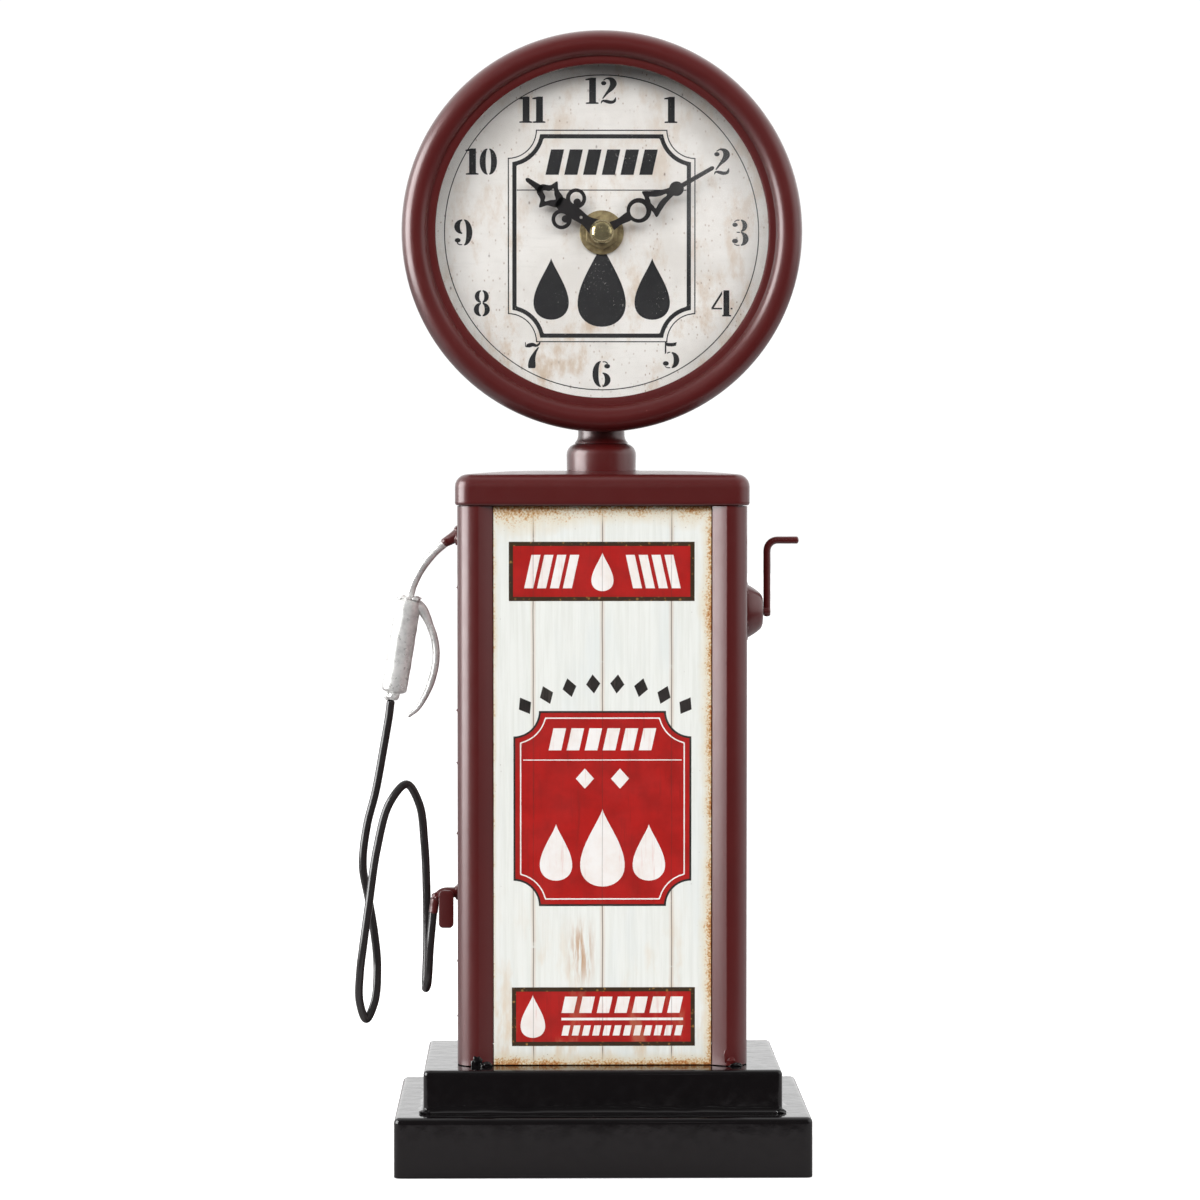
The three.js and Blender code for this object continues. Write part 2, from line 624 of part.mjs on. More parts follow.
// Points by hand along the formed wire that stands for the hose.
const HOSE_ROUTE = [
  [-75.8, 0, 161.6], [-76.3, 0.5, 158], [-77.9, 1.5, 148.8], [-81.2, 2.5, 130.9], [-84.4, 3.5, 118.3],
  [-85.9, 4, 104], [-83.8, 4, 91.8], [-81.9, 3.5, 80.6], [-80.7, 3, 68], [-81.6, 1.5, 55.2],
  [-84.6, 0, 49], [-86.9, -1.5, 55.5], [-86.7, -3, 66], [-85.6, -4, 75], [-83.5, -4, 90.3],
  [-80.5, -3, 110.8], [-76.1, -1, 126.9], [-70, 1.5, 133.6], [-65.5, 3.5, 126.2], [-63.7, 4, 112.2],
  [-63, 4, 97.5], [-62.8, 3.5, 75.6], [-63.2, 1, 62.5], [-63.1, -2, 60.4], [-62.4, -4.5, 62.5],
  [-61.5, -6, 75.6], [-60.3, -6, 88.5],
];

// A turned piece along a line in the plane y = 0, with a profile of [radius, distance from the start].
function alongLine(profile, [x0, z0], [x1, z1], sides) {
  const direction = new THREE.Vector3(x1 - x0, 0, z1 - z0).normalize();
  const turn = new THREE.Quaternion().setFromUnitVectors(new THREE.Vector3(0, 1, 0), direction);
  return turned(profile, sides).applyQuaternion(turn).translate(x0, 0, z0);
}

function nozzleBody(extra = 0) {
  const { top, bottom, radius } = NOZZLE;
  const length = Math.hypot(bottom[0] - top[0], bottom[1] - top[1]);
  const r = radius + extra;
  const profile = [
    [0, -extra], [r - 1.4, -extra], [r, 1.3],
    [r, length - 2.4], [r - 2.2, length + extra], [0, length + extra],
  ];
  return alongLine(profile, top, bottom, 24);
}

function nozzle() {
  const wallSide = -SIDE - GAP;
  const stubProfile = [[0, 0], [2.2, 0], [1.9, 1.5], [1.5, 4], [0, 4]];
  const stub = alongLine(stubProfile, [wallSide, 222.9], [-55.3, 221], 12);
  piece('nozzle_stub', carve(stub, { cut: [block(wallSide, 0, -9, 9, 210, 235)] }), 'burgundy');
  const spoutRoute = [
    [-55.6, 0, 220.8], [-60.3, 0, 216.6], [-64.5, 0, 211.2], [-67.5, 0, 205.4], [-68.9, 0, 200.9],
  ];
  piece('nozzle_spout', toGeometry(toSolid(wire(spoutRoute, 1.25, 14, 10))), 'silver');
  piece('nozzle_body', nozzleBody(), 'silver');
  const leverRoute = [
    [-67, 0, 198.4], [-64.4, 0, 196.4], [-61.9, 0, 191.9], [-58.9, 0, 184.7],
    [-58.2, 0, 179.3], [-59.3, 0, 172.2], [-62.1, 0, 165], [-65.7, 0, 159.6], [-68.6, 0, 157.8],
  ];
  piece('nozzle_lever', carve(wire(leverRoute, 1.25, 24), { cut: [nozzleBody(GAP)] }), 'silver');
}

function hose() {
  piece('hose_wire', toGeometry(toSolid(wire(HOSE_ROUTE, 1.6, 68))), 'hoseBlack');
  const wallSide = -SIDE - GAP;
  const elbowRoute = [
    [-60.1, -6, 89.1], [-59.4, -6, 93], [-57, -5.6, 95], [-53, -4, 95.2], [wallSide, -3.5, 95.2],
  ];
  const elbow = wire(elbowRoute, 1.65, 12);
  const tab = plate(roundedRectangle(5.4, 13.5, 1.2), -8.9, -7.4).translate(-55.6, 0, 89.5);
  const bridge = block(-57.6, -53.6, -7.8, -3.2, 93.9, 95.9);
  const wall = block(wallSide, 0, -20, 20, 80, 110);
  piece('hose_bracket', carve(elbow, { add: [tab, bridge], cut: [wall] }), 'burgundy');
}

// ---- crank -----------------------------------------------------------------------------------------

const CRANK = {
  height: 195.9, rootRadius: 9.8, faceRadius: 6.8, face: 58,
  wire: 1.3, armX: 59.5, bend: 3.6, handleTop: 221.4, handleEnd: 70.9,
};

function crank() {
  const { height, rootRadius, faceRadius, face } = CRANK;
  const root = SIDE + GAP;
  const profile = [
    [0, root], [rootRadius, root], [faceRadius, face - 1.7], [faceRadius - 0.7, face - 0.4],
    [faceRadius - 2, face], [0, face],
  ];
  const cone = turned(profile, 28).rotateZ(-Math.PI / 2);
  piece('crank_boss', toGeometry(toSolid(cone)).translate(0, 0, height), 'burgundy');
  const { armX, bend, handleTop, handleEnd } = CRANK;
  const route = [
    [armX, 0, height - 1.5], [armX, 0, height + 8], [armX, 0, height + 15], [armX, 0, handleTop - bend],
    [armX + 0.3 * bend, 0, handleTop - 0.3 * bend], [armX + bend, 0, handleTop], [armX + 2 * bend, 0, handleTop],
    [handleEnd, 0, handleTop],
  ];
  const rivetBack = face + 0.25;
  const rivetProfile = [
    [0, rivetBack], [2, rivetBack], [2, armX + 0.4], [1.2, armX + 1.1], [0, armX + 1.3],
  ];
  const rivet = turned(rivetProfile, 16);
  const pin = rivet.rotateZ(-Math.PI / 2).translate(0, 0, height);
  piece('crank_handle', carve(wire(route, CRANK.wire, 26), { add: [pin] }), 'burgundy');
}

base();
pumpBody();
neck();
headShell();
handsAndNuts();
movement();
nozzle();
hose();
crank();

export default clock;
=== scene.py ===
"""The looks of a fuel pump table clock: painted sheet metal, printed tin and dial, glass, and its movement.

Lengths are in millimetres until a mesh is made; Blender gets metres. The dial faces -Y.
"""

import math
import random

import bmesh
import bpy
from mathutils import Matrix, Vector, noise


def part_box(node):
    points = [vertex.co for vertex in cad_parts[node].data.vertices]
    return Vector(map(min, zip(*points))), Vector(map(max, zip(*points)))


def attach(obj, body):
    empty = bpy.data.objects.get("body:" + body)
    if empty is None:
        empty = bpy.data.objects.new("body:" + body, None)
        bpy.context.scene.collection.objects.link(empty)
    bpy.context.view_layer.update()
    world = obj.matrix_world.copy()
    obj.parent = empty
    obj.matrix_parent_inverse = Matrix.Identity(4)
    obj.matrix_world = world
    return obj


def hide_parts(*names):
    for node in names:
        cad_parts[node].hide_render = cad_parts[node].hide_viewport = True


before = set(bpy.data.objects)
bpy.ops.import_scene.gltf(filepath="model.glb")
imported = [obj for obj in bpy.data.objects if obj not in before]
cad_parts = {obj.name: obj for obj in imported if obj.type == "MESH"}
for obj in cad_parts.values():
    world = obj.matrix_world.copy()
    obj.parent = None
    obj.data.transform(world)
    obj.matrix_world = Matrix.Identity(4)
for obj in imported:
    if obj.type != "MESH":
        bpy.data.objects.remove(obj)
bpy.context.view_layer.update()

MM = 0.001
random.seed(11)


def span(node):
    """x0, x1, y0, y1, z0, z1 of a CAD node, in millimetres."""
    low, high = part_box(node)
    return [v / MM for pair in zip(low, high) for v in pair]


HEAD_BOX = span("head_bezel")
HEAD_Z = (HEAD_BOX[4] + HEAD_BOX[5]) / 2
HEAD = (0, 0, HEAD_Z)
BODY_X0, _, BODY_FRONT, _, BODY_Z0, BODY_Z1 = span("body_left_shell")
WALL = BODY_X0                      # the nozzle's side wall
BODY_BACK = span("body_back_panel")[3]
PANEL = span("front_panel")
DIAL_FACE = span("dial_plate")[2]
LENS = span("glass_lens")
SHEET = PANEL[3] - PANEL[2]

HOUR_ANGLE, MINUTE_ANGLE = 305, 60  # clock angles of the hands, in degrees
INK = 0.04                          # thickness of printed layers

# ---- materials --------------------------------------------------------------------------------------


def srgb(red, green, blue):
    """Linear colour from 8-bit sRGB numbers."""
    return [*(c / 12.92 if c < 0.04045 else ((c + 0.055) / 1.055) ** 2.4
              for c in (red / 255, green / 255, blue / 255)), 1.0]


class Graph:
    """A material and short ways to build its node graph. Places are object coordinates in millimetres."""

    def __init__(self, name, **sockets):
        self.material = bpy.data.materials.new(name)
        self.material.use_nodes = True
        self.tree = self.material.node_tree
        self.tree.nodes.clear()
        self.shader = self.add("ShaderNodeBsdfPrincipled")
        self.output = self.add("ShaderNodeOutputMaterial")
        self.put(self.output.inputs["Surface"], self.shader.outputs[0])
        for key, value in sockets.items():
            self.put(self.shader.inputs[key.replace("_", " ")], value)
        coordinates = self.add("ShaderNodeTexCoord").outputs["Object"]
        self.place = self.vector("SCALE", coordinates, Scale=1 / MM)

    def add(self, kind, **settings):
        node = self.tree.nodes.new(kind)
        for key, value in settings.items():
            setattr(node, key, value)
        return node

    def put(self, socket, value):
        if isinstance(value, bpy.types.NodeSocket):
            self.tree.links.new(value, socket)
        else:
            socket.default_value = value

    def vector(self, operation, a, b=None, **inputs):
        node = self.add("ShaderNodeVectorMath", operation=operation)
        self.put(node.inputs[0], a)
        if b is not None:
            self.put(node.inputs[1], b)
        for key, value in inputs.items():
            self.put(node.inputs[key], value)
        return node.outputs[0]

    def math(self, operation, a, b=0.0):
        node = self.add("ShaderNodeMath", operation=operation)
        for socket, value in zip(node.inputs, (a, b)):
            self.put(socket, value)
        return node.outputs[0]

    def times(self, a, b):
        return self.math("MULTIPLY", a, b)

    def plus(self, a, b):
        return self.math("ADD", a, b)

    def minus(self, a, b):
        return self.math("SUBTRACT", a, b)

    def absolute(self, a):
        return self.math("ABSOLUTE", a)

    def xyz(self):
        return self.split(self.place)

    def split(self, vector):
        node = self.add("ShaderNodeSeparateXYZ")
        self.put(node.inputs[0], vector)
        return node.outputs

    def moved(self, stretch, offset):
        squeeze = [1 / s for s in stretch]
        return self.vector("ADD", self.vector("MULTIPLY", self.place, squeeze), offset)

    def noise(self, size, detail=3, rough=0.55, stretch=(1, 1, 1), offset=(0, 0, 0)):
        node = self.add("ShaderNodeTexNoise")
        self.put(node.inputs["Vector"], self.moved(stretch, offset))
        self.put(node.inputs["Scale"], 1 / size)
        self.put(node.inputs["Detail"], detail)
        self.put(node.inputs["Roughness"], rough)
        return node.outputs[0]

    def cells(self, size, stretch=(1, 1, 1), offset=(0, 0, 0), share=0.3, radius=0.25, soft=0.1):
        """Round spots, 0 to 1: a share of the cells hold one of about that radius in cell sizes."""
        node = self.add("ShaderNodeTexVoronoi")
        self.put(node.inputs["Vector"], self.moved(stretch, offset))
        self.put(node.inputs["Scale"], 1 / size)
        chance = self.split(node.outputs["Color"])
        grown = self.times(chance[1], radius)
        reach = self.minus(grown, node.outputs["Distance"])
        spot = self.fade(reach, 0, soft * radius)
        return self.times(spot, self.math("LESS_THAN", chance[0], share))

    def fade(self, value, low, high, start=0.0, end=1.0):
        """Smooth step from start, at low, to end, at high."""
        node = self.add("ShaderNodeMapRange", interpolation_type="SMOOTHSTEP")
        for socket, number in zip(node.inputs, (value, low, high, start, end)):
            self.put(socket, number)
        return node.outputs[0]

    def mix(self, factor, a, b):
        node = self.add("ShaderNodeMix", data_type="RGBA")
        self.put(node.inputs[0], factor)
        self.put(node.inputs[6], a)
        self.put(node.inputs[7], b)
        return node.outputs[2]

    def colour(self, value):
        self.put(self.shader.inputs["Base Color"], value)

    def roughness(self, low, high, size=9, **noise_settings):
        grain = self.noise(size, **noise_settings)
        self.put(self.shader.inputs["Roughness"], self.fade(grain, 0.3, 0.7, low, high))

    def bump(self, *layers):
        """Layers are pairs of a height from 0 to 1 and its depth in millimetres."""
        normal = None
        for height, depth in layers:
            node = self.add("ShaderNodeBump")
            self.put(node.inputs["Height"], height)
            self.put(node.inputs["Distance"], depth * MM)
            if normal is not None:
                self.put(node.inputs["Normal"], normal)
            normal = node.outputs[0]
        self.put(self.shader.inputs["Normal"], normal)


def burgundy_paint():
    g = Graph("burgundy_paint", Coat_Weight=0.6, Coat_Roughness=0.24, Specular_IOR_Level=0.4)
    tone = g.mix(g.noise(26, 2), srgb(74, 14, 14), srgb(83, 18, 17))
    dust = g.cells(7, share=0.3, radius=0.06, soft=0.6)
    nicks = g.cells(17, offset=(3, 9, 5), share=0.13, radius=0.035, soft=0.5)
    tone = g.mix(g.times(dust, 0.5), tone, srgb(126, 60, 56))
    g.colour(g.mix(nicks, tone, srgb(186, 160, 150)))
    g.roughness(0.38, 0.46, 5)
    g.bump((g.noise(22, 2), 0.10), (g.noise(0.9, 2), 0.008), (dust, 0.09))
    return g.material


def black_gloss_paint():
    g = Graph("black_gloss_paint", IOR=1.42)
    tone = g.mix(g.noise(9, 3), srgb(10, 8, 9), srgb(16, 13, 14))
    dust = g.cells(6, share=0.35, radius=0.07, soft=0.6)
    # painted_glints are bright specks painted into the colour: painted highlights standing in for sparkle on
    # the gloss paint.
    painted_glints = g.cells(5, offset=(4, 2, 6), share=0.2, radius=0.055, soft=0.5)
    tone = g.mix(g.times(dust, 0.3), tone, srgb(90, 86, 84))
    g.colour(g.mix(painted_glints, tone, srgb(205, 205, 205)))
    g.roughness(0.05, 0.17, 4, detail=5)
    g.bump((g.noise(15, 2), 0.22), (g.noise(3.5, 3), 0.03), (dust, 0.12))
    return g.material


def border_distance(g, half_width, low, high):
    """Distance from a panel's nearest edge, in millimetres, with wandering.

    The left edge wears least, and the top left corner most.
    """
    x, _, z = g.xyz()
    height = g.fade(z, low + 30, high - 30)
    right = g.minus(half_width, x)
    left = g.times(g.plus(half_width + 0.7, x), g.minus(3.0, height))
    top = g.times(g.minus(high, z), g.fade(x, -32, -6, 0.36, 0.58))
    bottom = g.times(g.minus(z, low), 0.9)
    near = g.math("MINIMUM", g.math("MINIMUM", left, right), g.math("MINIMUM", top, bottom))
    coarse = g.times(g.minus(g.noise(12, 4, 0.62), 0.5), 5.5)
    return g.minus(near, coarse)


def aged(g, tone, amount=1.0):
    """Granular rust and grime of the printed tin panel over a tone."""
    near = border_distance(g, (PANEL[1] - PANEL[0]) / 2, PANEL[4], PANEL[5])
    grit = g.times(g.minus(g.noise(0.7, 4, 0.7), 0.5), 9)
    torn = g.plus(near, grit)
    x, _, z = g.xyz()
    cream = g.fade(near, 0.8, 5.0, 0.7 * amount, 0)
    tan = g.fade(torn, 0.4, 1.9, 0.85 * amount, 0)
    rust = g.fade(torn, -0.7, 0.7, 0.95 * amount, 0)
    dark = g.fade(torn, -2.2, -1.2, 0.75 * amount, 0)
    low = g.fade(z, PANEL[4], PANEL[4] + 70, 1, 0)
    blotch = g.times(low, g.fade(g.noise(15, 4, 0.6, (0.5, 1, 1.5)), 0.5, 0.72))
    tone = g.mix(g.times(blotch, 0.6 * amount), tone, srgb(216, 184, 140))
    run_x = g.fade(g.absolute(g.plus(x, 7.5)), 0, 6.5, 1, 0)
    run_z = g.fade(g.absolute(g.minus(z, 76)), 2, 15, 1, 0)
    streak = g.fade(g.noise(2.6, 4, 0.6, (0.5, 1, 4)), 0.38, 0.62)
    run = g.times(g.times(run_x, run_z), streak)
    tone = g.mix(g.times(run, 0.85 * amount), tone, srgb(188, 142, 98))
    tone = g.mix(cream, tone, srgb(228, 214, 184))
    tone = g.mix(tan, tone, srgb(208, 168, 112))
    tone = g.mix(rust, tone, srgb(176, 106, 48))
    tone = g.mix(dark, tone, srgb(104, 58, 30))
    grains = g.cells(0.9, share=0.6, radius=0.42, soft=0.5)
    band = g.times(g.fade(near, 1.2, 5.5, 1, 0), g.fade(g.noise(4, 3), 0.42, 0.58))
    tone = g.mix(g.times(grains, g.times(band, 0.85 * amount)), tone, srgb(122, 84, 44))
    specks = g.cells(2.6, stretch=(1, 1, 1.3), share=0.3, radius=0.13, soft=0.7)
    edge_specks = g.times(specks, g.fade(near, 2, 13, 1, 0.12))
    return g.mix(g.times(edge_specks, amount), tone, srgb(96, 66, 44))


def plank_seams(g):
    """Thin broken lines between the printed planks."""
    x, _, _ = g.xyz()
    wander = g.times(g.minus(g.noise(30, 3, stretch=(9, 1, 1)), 0.5), 0.7)
    across = g.math("PINGPONG", g.plus(x, wander), 12.2)
    broken = g.fade(g.noise(6, 4, 0.7, (6, 1, 1)), 0.26, 0.42, 0.25, 1)
    even = g.absolute(g.minus(g.absolute(x), 12.2))
    on_seam = g.math("GREATER_THAN", even, 6.1)
    line = g.times(g.fade(across, 0.07, 0.24, 1, 0), on_seam)
    glow = g.times(g.fade(across, 0.1, 1.3, 1, 0), on_seam)
    return g.times(line, broken), g.times(glow, broken)


def printed_tin():
    g = Graph("printed_tin", Specular_IOR_Level=0.45)
    grain = g.noise(1.4, 5, 0.65, (1, 1, 22))
    wash = g.noise(11, 3, 0.5, (1, 1, 4))
    tone = g.mix(g.fade(grain, 0.36, 0.66), srgb(240, 242, 237), srgb(232, 234, 228))
    tone = g.mix(g.fade(wash, 0.5, 0.8, 0, 0.5), tone, srgb(226, 232, 231))
    line, glow = plank_seams(g)
    tone = g.mix(g.times(glow, 0.32), tone, srgb(196, 158, 118))
    tone = g.mix(g.times(line, 0.9), tone, srgb(112, 98, 90))
    g.colour(aged(g, tone))
    g.roughness(0.34, 0.46, 12)
    g.bump((g.noise(0.8, 2), 0.004), (g.noise(30, 1), 0.05))
    return g.material


def print_on_tin(name, main, other, flecks):
    """Ink printed on the tin panel, which wears and stains with it."""
    g = Graph(name, Specular_IOR_Level=0.45)
    grain = g.noise(1.2, 5, 0.7, (1, 1, 16))
    tone = g.mix(g.fade(g.noise(9, 4, 0.6), 0.35, 0.7), main, other)
    tone = g.mix(g.times(g.fade(grain, 0.52, 0.74), 0.55), tone, flecks)
    line, _ = plank_seams(g)
    tone = g.mix(g.times(line, 0.35), tone, srgb(70, 40, 36))
    g.colour(aged(g, tone, 0.35))
    g.roughness(0.34, 0.46, 12)
    g.bump((g.noise(0.8, 2), 0.004), (g.noise(30, 1), 0.05))
    return g.material


def printed_border():
    g = Graph("printed_border", Specular_IOR_Level=0.45)
    beads = g.cells(1.0, share=0.9, radius=0.75, soft=0.8)
    tone = g.mix(beads, srgb(58, 42, 26), srgb(150, 112, 60))
    g.colour(g.mix(g.fade(g.noise(5, 3), 0.45, 0.7), tone, srgb(52, 38, 28)))
    g.roughness(0.36, 0.46, 12)
    return g.material


def dial_stains(g, tone):
    """Speckles, smears and fine lines of the dial's old-paper print."""
    _, _, z = g.xyz()
    upper = g.fade(z, HEAD_Z - 60, HEAD_Z + 20, 1, 0.5)
    smear = g.fade(g.noise(12, 5, 0.65, (0.8, 1, 1.6)), 0.5, 0.7)
    tone = g.mix(g.times(g.times(smear, upper), 0.75), tone, srgb(200, 172, 142))
    small = g.cells(1.4, stretch=(1, 1, 1.5), share=0.45, radius=0.42, soft=0.8)
    patches = g.fade(g.noise(12, 3, offset=(5, 2, 8)), 0.4, 0.56)
    tone = g.mix(g.times(small, patches), tone, srgb(150, 116, 88))
    few = g.cells(4.8, stretch=(1, 1, 1.6), share=0.5, radius=0.24, offset=(2, 7, 1), soft=0.6)
    tone = g.mix(few, tone, srgb(92, 64, 48))
    specks = g.cells(2.6, stretch=(1.5, 1, 1), share=0.4, radius=0.2, offset=(6, 3, 2), soft=0.6)
    tone = g.mix(specks, tone, srgb(142, 104, 78))
    return tone


def dial_card():
    g = Graph("dial_card", Specular_IOR_Level=0.3)
    tone = g.mix(g.fade(g.noise(20, 4, 0.6), 0.35, 0.7), srgb(239, 235, 230), srgb(225, 220, 214))
    brush = g.noise(1.5, 5, 0.7, (9, 1, 1))
    tone = g.mix(g.fade(brush, 0.5, 0.75, 0, 0.45), tone, srgb(222, 218, 212))
    g.colour(dial_stains(g, tone))
    g.roughness(0.5, 0.6, 8)
    g.bump((g.noise(0.7, 2), 0.004))
    return g.material


def dial_ink():
    g = Graph("dial_ink", Specular_IOR_Level=0.3)
    worn = g.fade(g.noise(0.8, 5, 0.75), 0.6, 0.69)
    patches = g.fade(g.noise(11, 3, offset=(4, 1, 6)), 0.46, 0.62, 0.1, 1)
    tone = g.mix(g.noise(6, 3), srgb(34, 34, 36), srgb(52, 51, 52))
    tone = g.mix(g.times(worn, patches), tone, srgb(196, 192, 186))
    g.colour(tone)
    g.roughness(0.42, 0.55, 8)
    return g.material


def clear(name, colour, roughness, ior, grain=None):
    """A clear material that bends what the camera sees and lets all other light straight through."""
    g = Graph(name, Base_Color=colour, IOR=ior, Transmission_Weight=1.0)
    g.roughness(roughness, roughness * 1.6, 14)
    if grain:
        g.bump((g.noise(2.4, 3), grain))
    see_through = g.add("ShaderNodeBsdfTransparent")
    path = g.add("ShaderNodeLightPath")
    both = g.add("ShaderNodeMixShader")
    straight = g.math("MAXIMUM", path.outputs["Is Shadow Ray"], path.outputs["Is Glossy Ray"])
    g.put(both.inputs[0], g.math("MAXIMUM", straight, path.outputs["Is Diffuse Ray"]))
    g.put(both.inputs[1], g.shader.outputs[0])
    g.put(both.inputs[2], see_through.outputs[0])
    g.put(g.output.inputs["Surface"], both.outputs[0])
    return g.material


def metal(name, light, dark, low, high, metallic=1.0, grain=0.01, spots=0.0, size=5):
    g = Graph(name, Metallic=metallic)
    tone = g.mix(g.fade(g.noise(size, 4, 0.6), 0.35, 0.65), light, dark)
    if spots:
        tone = g.mix(g.cells(2.2, share=spots, radius=0.25, soft=0.9), tone, dark)
    g.colour(tone)
    g.roughness(low, high, size * 0.6, detail=4)
    g.bump((g.noise(0.6, 3), grain))
    return g.material


def silver_paint():
    g = Graph("silver_paint", Metallic=0.4)
    tone = g.mix(g.fade(g.noise(2.8, 4, 0.7), 0.35, 0.7), srgb(236, 236, 234), srgb(206, 207, 205))
    scuffs = g.cells(3.1, share=0.22, radius=0.12, soft=0.8)
    g.colour(g.mix(g.times(scuffs, 0.6), tone, srgb(96, 92, 90)))
    g.roughness(0.26, 0.40, 1.6, detail=4)
    g.bump((g.noise(3.2, 3, 0.55), 0.09), (g.noise(0.6, 3), 0.012))
    return g.material


def plastic(name, light, dark, low, high, grain):
    g = Graph(name)
    g.colour(g.mix(g.noise(6, 3), light, dark))
    g.roughness(low, high, 6)
    g.bump((g.noise(0.35, 2), grain))
    return g.material


def hose_vinyl():
    g = Graph("hose_black")
    tone = g.mix(g.noise(4, 3), srgb(34, 32, 32), srgb(46, 44, 44))
    dust = g.cells(5, share=0.4, radius=0.06, soft=0.6)
    g.colour(g.mix(g.times(dust, 0.4), tone, srgb(120, 116, 112)))
    g.roughness(0.12, 0.22, 3, detail=4)
    g.bump((g.noise(5, 2), 0.05), (g.noise(0.8, 2), 0.006))
    return g.material


def cell_wrap():
    """A dry cell's printed film: a dark body, a light band and a thin line."""
    g = Graph("cell_wrap", Metallic=0.35)
    x, _, _ = g.xyz()
    tone = g.mix(g.math("GREATER_THAN", x, 8), srgb(38, 52, 70), srgb(196, 200, 204))
    line = g.math("LESS_THAN", g.absolute(g.minus(x, 5.6)), 0.5)
    tone = g.mix(line, tone, srgb(196, 200, 204))
    g.colour(g.mix(g.times(g.noise(5, 4), 0.25), tone, srgb(30, 34, 40)))
    g.roughness(0.22, 0.36, 4)
    g.bump((g.noise(1.2, 2), 0.01))
    return g.material


def coil_copper():
    g = Graph("copper", Metallic=0.85)
    x, _, _ = g.xyz()
    turn_shape_and_painted_shade = g.math("PINGPONG", x, 0.11)
    # The colour is dark where neighbouring turns meet and light on each turn's crest: painted shade between
    # the turns and a painted highlight on them. The bump gives the turns their real shape.
    g.colour(g.mix(g.fade(turn_shape_and_painted_shade, 0, 0.11), srgb(120, 62, 34), srgb(214, 128, 78)))
    g.roughness(0.25, 0.36, 3)
    g.bump((g.fade(turn_shape_and_painted_shade, 0, 0.11), 0.06))
    return g.material


def circuit_laminate():
    g = Graph("circuit_board")
    tracks = g.cells(2.4, share=0.4, radius=0.6, soft=0.1)
    g.colour(g.mix(tracks, srgb(34, 84, 52), srgb(52, 112, 70)))
    g.roughness(0.35, 0.5, 3)
    return g.material


RED = (srgb(176, 28, 25), srgb(156, 26, 23))
FINISH = {
    "burgundy_paint": burgundy_paint(),
    "black_gloss_paint": black_gloss_paint(),
    "printed_tin": printed_tin(),
    "tin_red": print_on_tin("tin_red", *RED, srgb(132, 30, 26)),
    "tin_dark": print_on_tin("tin_dark", srgb(38, 35, 34), srgb(50, 46, 44), srgb(92, 84, 78)),
    "tin_white": print_on_tin("tin_white", srgb(246, 243, 240), srgb(240, 232, 226), srgb(222, 178, 170)),
    "tin_border": printed_border(),
    "dial_card": dial_card(),
    "dial_ink": dial_ink(),
    "glass": clear("glass", srgb(250, 252, 252), 0.012, 1.45),
    "clear_plastic": clear("clear_plastic", srgb(206, 209, 211), 0.07, 1.49, 0.03),
    "hand_black": metal("hand_black", srgb(34, 32, 33), srgb(44, 41, 42), 0.38, 0.5, 0.3, 0.012),
    "brass": metal("brass", srgb(200, 188, 146), srgb(178, 165, 122), 0.14, 0.22, 0.85, 0.003),
    "aged_brass": metal("aged_brass", srgb(186, 168, 124), srgb(142, 124, 90), 0.3, 0.44, 0.5, 0.012, 0.3, 3),
    "rubber": plastic("rubber", srgb(24, 24, 24), srgb(34, 33, 33), 0.75, 0.9, 0.02),
    "movement_plastic": plastic("movement_plastic", srgb(24, 24, 26), srgb(34, 34, 36), 0.42, 0.55, 0.02),
    "gear_plastic": plastic("gear_plastic", srgb(236, 232, 220), srgb(226, 221, 206), 0.4, 0.5, 0.008),
    "steel": metal("steel", srgb(196, 197, 198), srgb(170, 171, 172), 0.2, 0.34, 1.0, 0.01),
    "magnet": metal("magnet", srgb(96, 96, 100), srgb(78, 78, 82), 0.4, 0.5, 0.8, 0.02),
    "copper": coil_copper(),
    "circuit_board": circuit_laminate(),
    "cell_wrap": cell_wrap(),
    "silver_paint": silver_paint(),
    "hose_black": hose_vinyl(),
}

# ---- mesh helpers -----------------------------------------------------------------------------------


def piece(name, mesh, finish, body="root", stands_for=(), sharp=32, bevel=0.0):
    """A finished object from a mesh in metres: shading, material, body and the nodes it replaces."""
    work = bmesh.new()
    work.from_mesh(mesh)
    bmesh.ops.remove_doubles(work, verts=work.verts, dist=1e-7)
    bmesh.ops.recalc_face_normals(work, faces=work.faces)
    work.to_mesh(mesh)
    work.free()
    mesh.polygons.foreach_set("use_smooth", [True] * len(mesh.polygons))
    mesh.set_sharp_from_angle(angle=math.radians(sharp))
    mesh.materials.clear()
    mesh.materials.append(FINISH[finish])
    item = bpy.data.objects.new(name, mesh)
    bpy.context.scene.collection.objects.link(item)
    if bevel:
        edge = item.modifiers.new("edge", "BEVEL")
        edge.width = bevel * MM
        edge.segments = 2
        edge.limit_method = "ANGLE"
        edge.angle_limit = math.radians(35)
        edge.harden_normals = True
    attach(item, body)
    if stands_for:
        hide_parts(*stands_for)
    return item


def raw(vertices, faces):
    mesh = bpy.data.meshes.new("raw")
    mesh.from_pydata([Vector(v) * MM for v in vertices], [], faces)
    return mesh


def loft(rings, loop=False):
    """A mesh through rings of as many points each, closed at both ends or, with loop, joined end to end."""
    count = len(rings[0])
    vertices = [point for ring in rings for point in ring]
    faces = []
    for i in range(len(rings) if loop else len(rings) - 1):
        a, b = i * count, (i + 1) % len(rings) * count
        for j in range(count):
            k = (j + 1) % count
            faces.append((a + j, a + k, b + k, b + j))
    if not loop:
        faces.append(tuple(range(count))[::-1])
        faces.append(tuple(range(len(vertices) - count, len(vertices))))
    return raw(vertices, faces)


